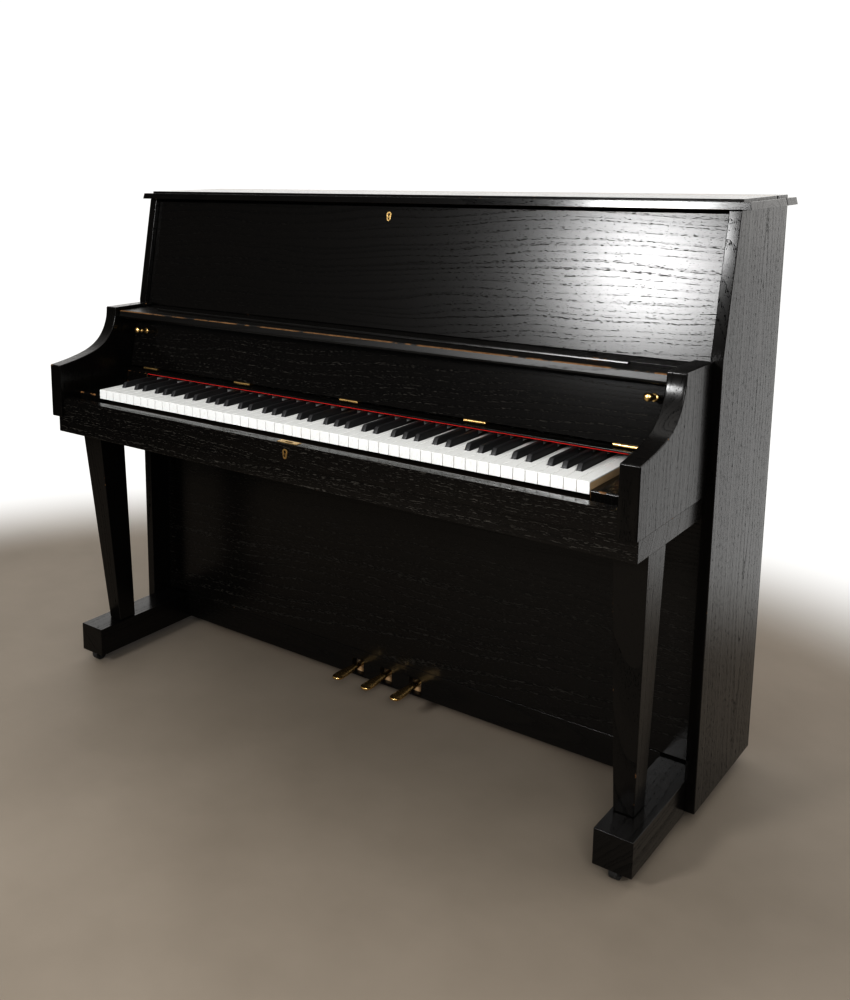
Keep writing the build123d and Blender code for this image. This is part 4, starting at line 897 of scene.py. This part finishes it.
# ---- action ----------------------------------------------------------------
# Brackets and rails of maple carry a wippen, a damper and a hammer for each
# note. The hammer heads are wool felt pressed round a wooden core.
refinish("action_frame", pale_timber("action_maple", 0, 2, 1, (0.62, 0.47, 0.30), (0.48, 0.34, 0.20)))
refinish("wippens", pale_timber("wippen_maple", 1, 0, 2, (0.66, 0.50, 0.33), (0.52, 0.38, 0.23)))
refinish("dampers", pressed_felt("damper_felt", (0.56, 0.53, 0.47), (0.38, 0.35, 0.30), 900))
hammer_low, hammer_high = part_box("hammers")
core_y = hammer_low.y + 0.016
head_z = hammer_high.z - 0.011
wood = bmesh.new()
for x_half, outline in ((0.0038, [(-0.0079, hammer_low.z), (0.0079, hammer_low.z),
                                  (0.0079, hammer_low.z + 0.012), (0.004, hammer_low.z + 0.0159),
                                  (-0.004, hammer_low.z + 0.0159), (-0.0079, hammer_low.z + 0.010)]),
                        (0.0040, [(-0.0160, head_z - 0.0030), (0.0030, head_z - 0.0058),
                                  (0.0100, head_z), (0.0030, head_z + 0.0058), (-0.0160, head_z + 0.0030)])):
    lofted(wood, [[(x, core_y + y, z) for y, z in outline] for x in (-x_half, x_half)])
turned(wood, (0, core_y, hammer_low.z + 0.015), (0, 0, 1), [(0, 0.0026), (head_z - hammer_low.z - 0.018, 0.0026)], 8)
felt = bmesh.new()
felt_line = smooth_profile([(-0.0040, 0.0052), (0.0000, 0.0102), (0.0060, 0.0108), (0.0135, 0.0072),
                            (0.0188, 0.0)], 2)
felt_line = felt_line + [(y, -z) for y, z in reversed(felt_line[:-1])]
lofted(felt, [[(x, core_y + y * k, head_z + z * k) for y, z in felt_line]
              for x, k in ((-0.0042, 0.97), (-0.0036, 1.0), (0.0036, 1.0), (0.0042, 0.97))])
hammer_places = [((low.x + high.x) / 2, 0.0, 0.0) for low, high in solids_of("hammers")]
hammer_maple = pale_timber("hammer_maple", 2, 0, 1, (0.64, 0.49, 0.32), (0.50, 0.36, 0.22))
head_felt = pressed_felt("head_felt", (0.80, 0.76, 0.68), (0.62, 0.58, 0.50), 1100)
stand_for("hammer_woods", set_out_row(mesh_from(wood, "hammer_wood"), hammer_places, hammer_maple),
          hammer_maple, "hammers", slot="white_felt")
go_with("hammer_heads", set_out_row(mesh_from(felt, "head", 60), hammer_places, head_felt), "hammers")

# ---- studio ----------------------------------------------------------------
# A grey-brown floor that fades into a pale surround, brighter behind and above
# the piano than in front of it, two soft boxes at the front, and the camera.
floor_mesh = bpy.data.meshes.new("floor")
reach = 14
floor_mesh.from_pydata([(-reach, -reach, 0), (reach, -reach, 0), (reach, reach, 0), (-reach, reach, 0)], [],
                       [(0, 1, 2, 3)])
floor = bpy.data.objects.new("floor", floor_mesh)
bpy.context.scene.collection.objects.link(floor)
floor_grey, ground, floor_shader = new_material("floor_grey")
floor_place = node(ground, "ShaderNodeTexCoord").outputs["Object"]
away = node(ground, "ShaderNodeVectorMath", {0: floor_place, 1: (0.0, -0.6, 0.0)}, operation="DISTANCE")
fade_start, fade_end = 1.60, 2.35
pale_surround = (0.80, 0.795, 0.785, 1)
fade = spread(ground, away.outputs["Value"], fade_start, fade_end)
cloud = noise(ground, stretched(ground, floor_place, 1.6, 1.6, 1.6), 5.0, 0.6)
near_grey = colour_mix(ground, cloud, (0.27, 0.235, 0.195, 1), (0.155, 0.132, 0.105, 1))
ground.links.new(colour_mix(ground, fade, near_grey, (0.0, 0.0, 0.0, 1)), floor_shader.inputs["Base Color"])
floor_shader.inputs["Roughness"].default_value = 0.6
ground.links.new(sum_of(ground, "MULTIPLY_ADD", fade, -0.3, 0.3), floor_shader.inputs["Specular IOR Level"])
floor_shader.inputs["Emission Color"].default_value = pale_surround
floor_axes = node(ground, "ShaderNodeSeparateXYZ", {0: floor_place}).outputs
rear = spread(ground, floor_axes[1], -0.6, 0.9, 0.04, 1.0)
direct = node(ground, "ShaderNodeLightPath").outputs["Is Camera Ray"]
glow = sum_of(ground, "MULTIPLY", fade, sum_of(ground, "MAXIMUM", rear, direct))
ground.links.new(glow, floor_shader.inputs["Emission Strength"])
floor_mesh.materials.append(floor_grey)

world = bpy.data.worlds.new("surround")
bpy.context.scene.world = world
world.use_nodes = True
air = world.node_tree
towards = node(air, "ShaderNodeSeparateXYZ", {0: node(air, "ShaderNodeTexCoord").outputs["Generated"]}).outputs
behind = spread(air, towards[1], -0.1, 0.55, 0.10, 1.0)
above = spread(air, towards[2], 0.40, 0.95, 0.0, 1.05)
seen = node(air, "ShaderNodeLightPath").outputs["Is Camera Ray"]
sky = colour_mix(air, seen, (1.0, 0.985, 0.965, 1), pale_surround)
air.links.new(sky, air.nodes["Background"].inputs["Color"])
lit = sum_of(air, "MAXIMUM", behind, above)
strength = node(air, "ShaderNodeMix", {0: seen, 2: lit, 3: 1.0}, data_type="FLOAT").outputs[0]
air.links.new(strength, air.nodes["Background"].inputs["Strength"])


def soft_box(name, place, aim, width, height, power):
    """Rectangular studio light turned towards a point."""
    lamp = bpy.data.lights.new(name, "AREA")
    lamp.shape = "RECTANGLE"
    lamp.size = width
    lamp.size_y = height
    lamp.energy = power
    light = bpy.data.objects.new(name, lamp)
    bpy.context.scene.collection.objects.link(light)
    light.location = place
    light.rotation_euler = (Vector(aim) - Vector(place)).to_track_quat("-Z", "Y").to_euler()


soft_box("key_light", (-0.68, -3.10, 1.93), (0.45, 0.0, 0.95), 0.54, 0.56, 56)
soft_box("fill_light", (2.20, -2.90, 2.30), (0.20, -0.2, 0.80), 1.60, 1.20, 60)

view = bpy.data.cameras.new("camera")
view.sensor_fit = "VERTICAL"
view.sensor_height = 36
view.lens = 39.30
camera_turn, camera_drop, camera_lean = 0.70774, 0.17856, -0.01137
view.shift_x = 0.1597
view.shift_y = -0.1419
camera = bpy.data.objects.new("camera", view)
bpy.context.scene.collection.objects.link(camera)
camera.location = (1.3391, -1.9297, 1.2418)
camera.rotation_euler = (Matrix.Rotation(camera_turn, 3, "Z")
                         @ Matrix.Rotation(math.pi / 2 - camera_drop, 3, "X")
                         @ Matrix.Rotation(camera_lean, 3, "Z")).to_euler()
bpy.context.scene.camera = camera
bpy.context.scene.view_settings.view_transform = "Standard"
bpy.context.scene.view_settings.look = "High Contrast"
bpy.context.scene.view_settings.exposure = -0.1
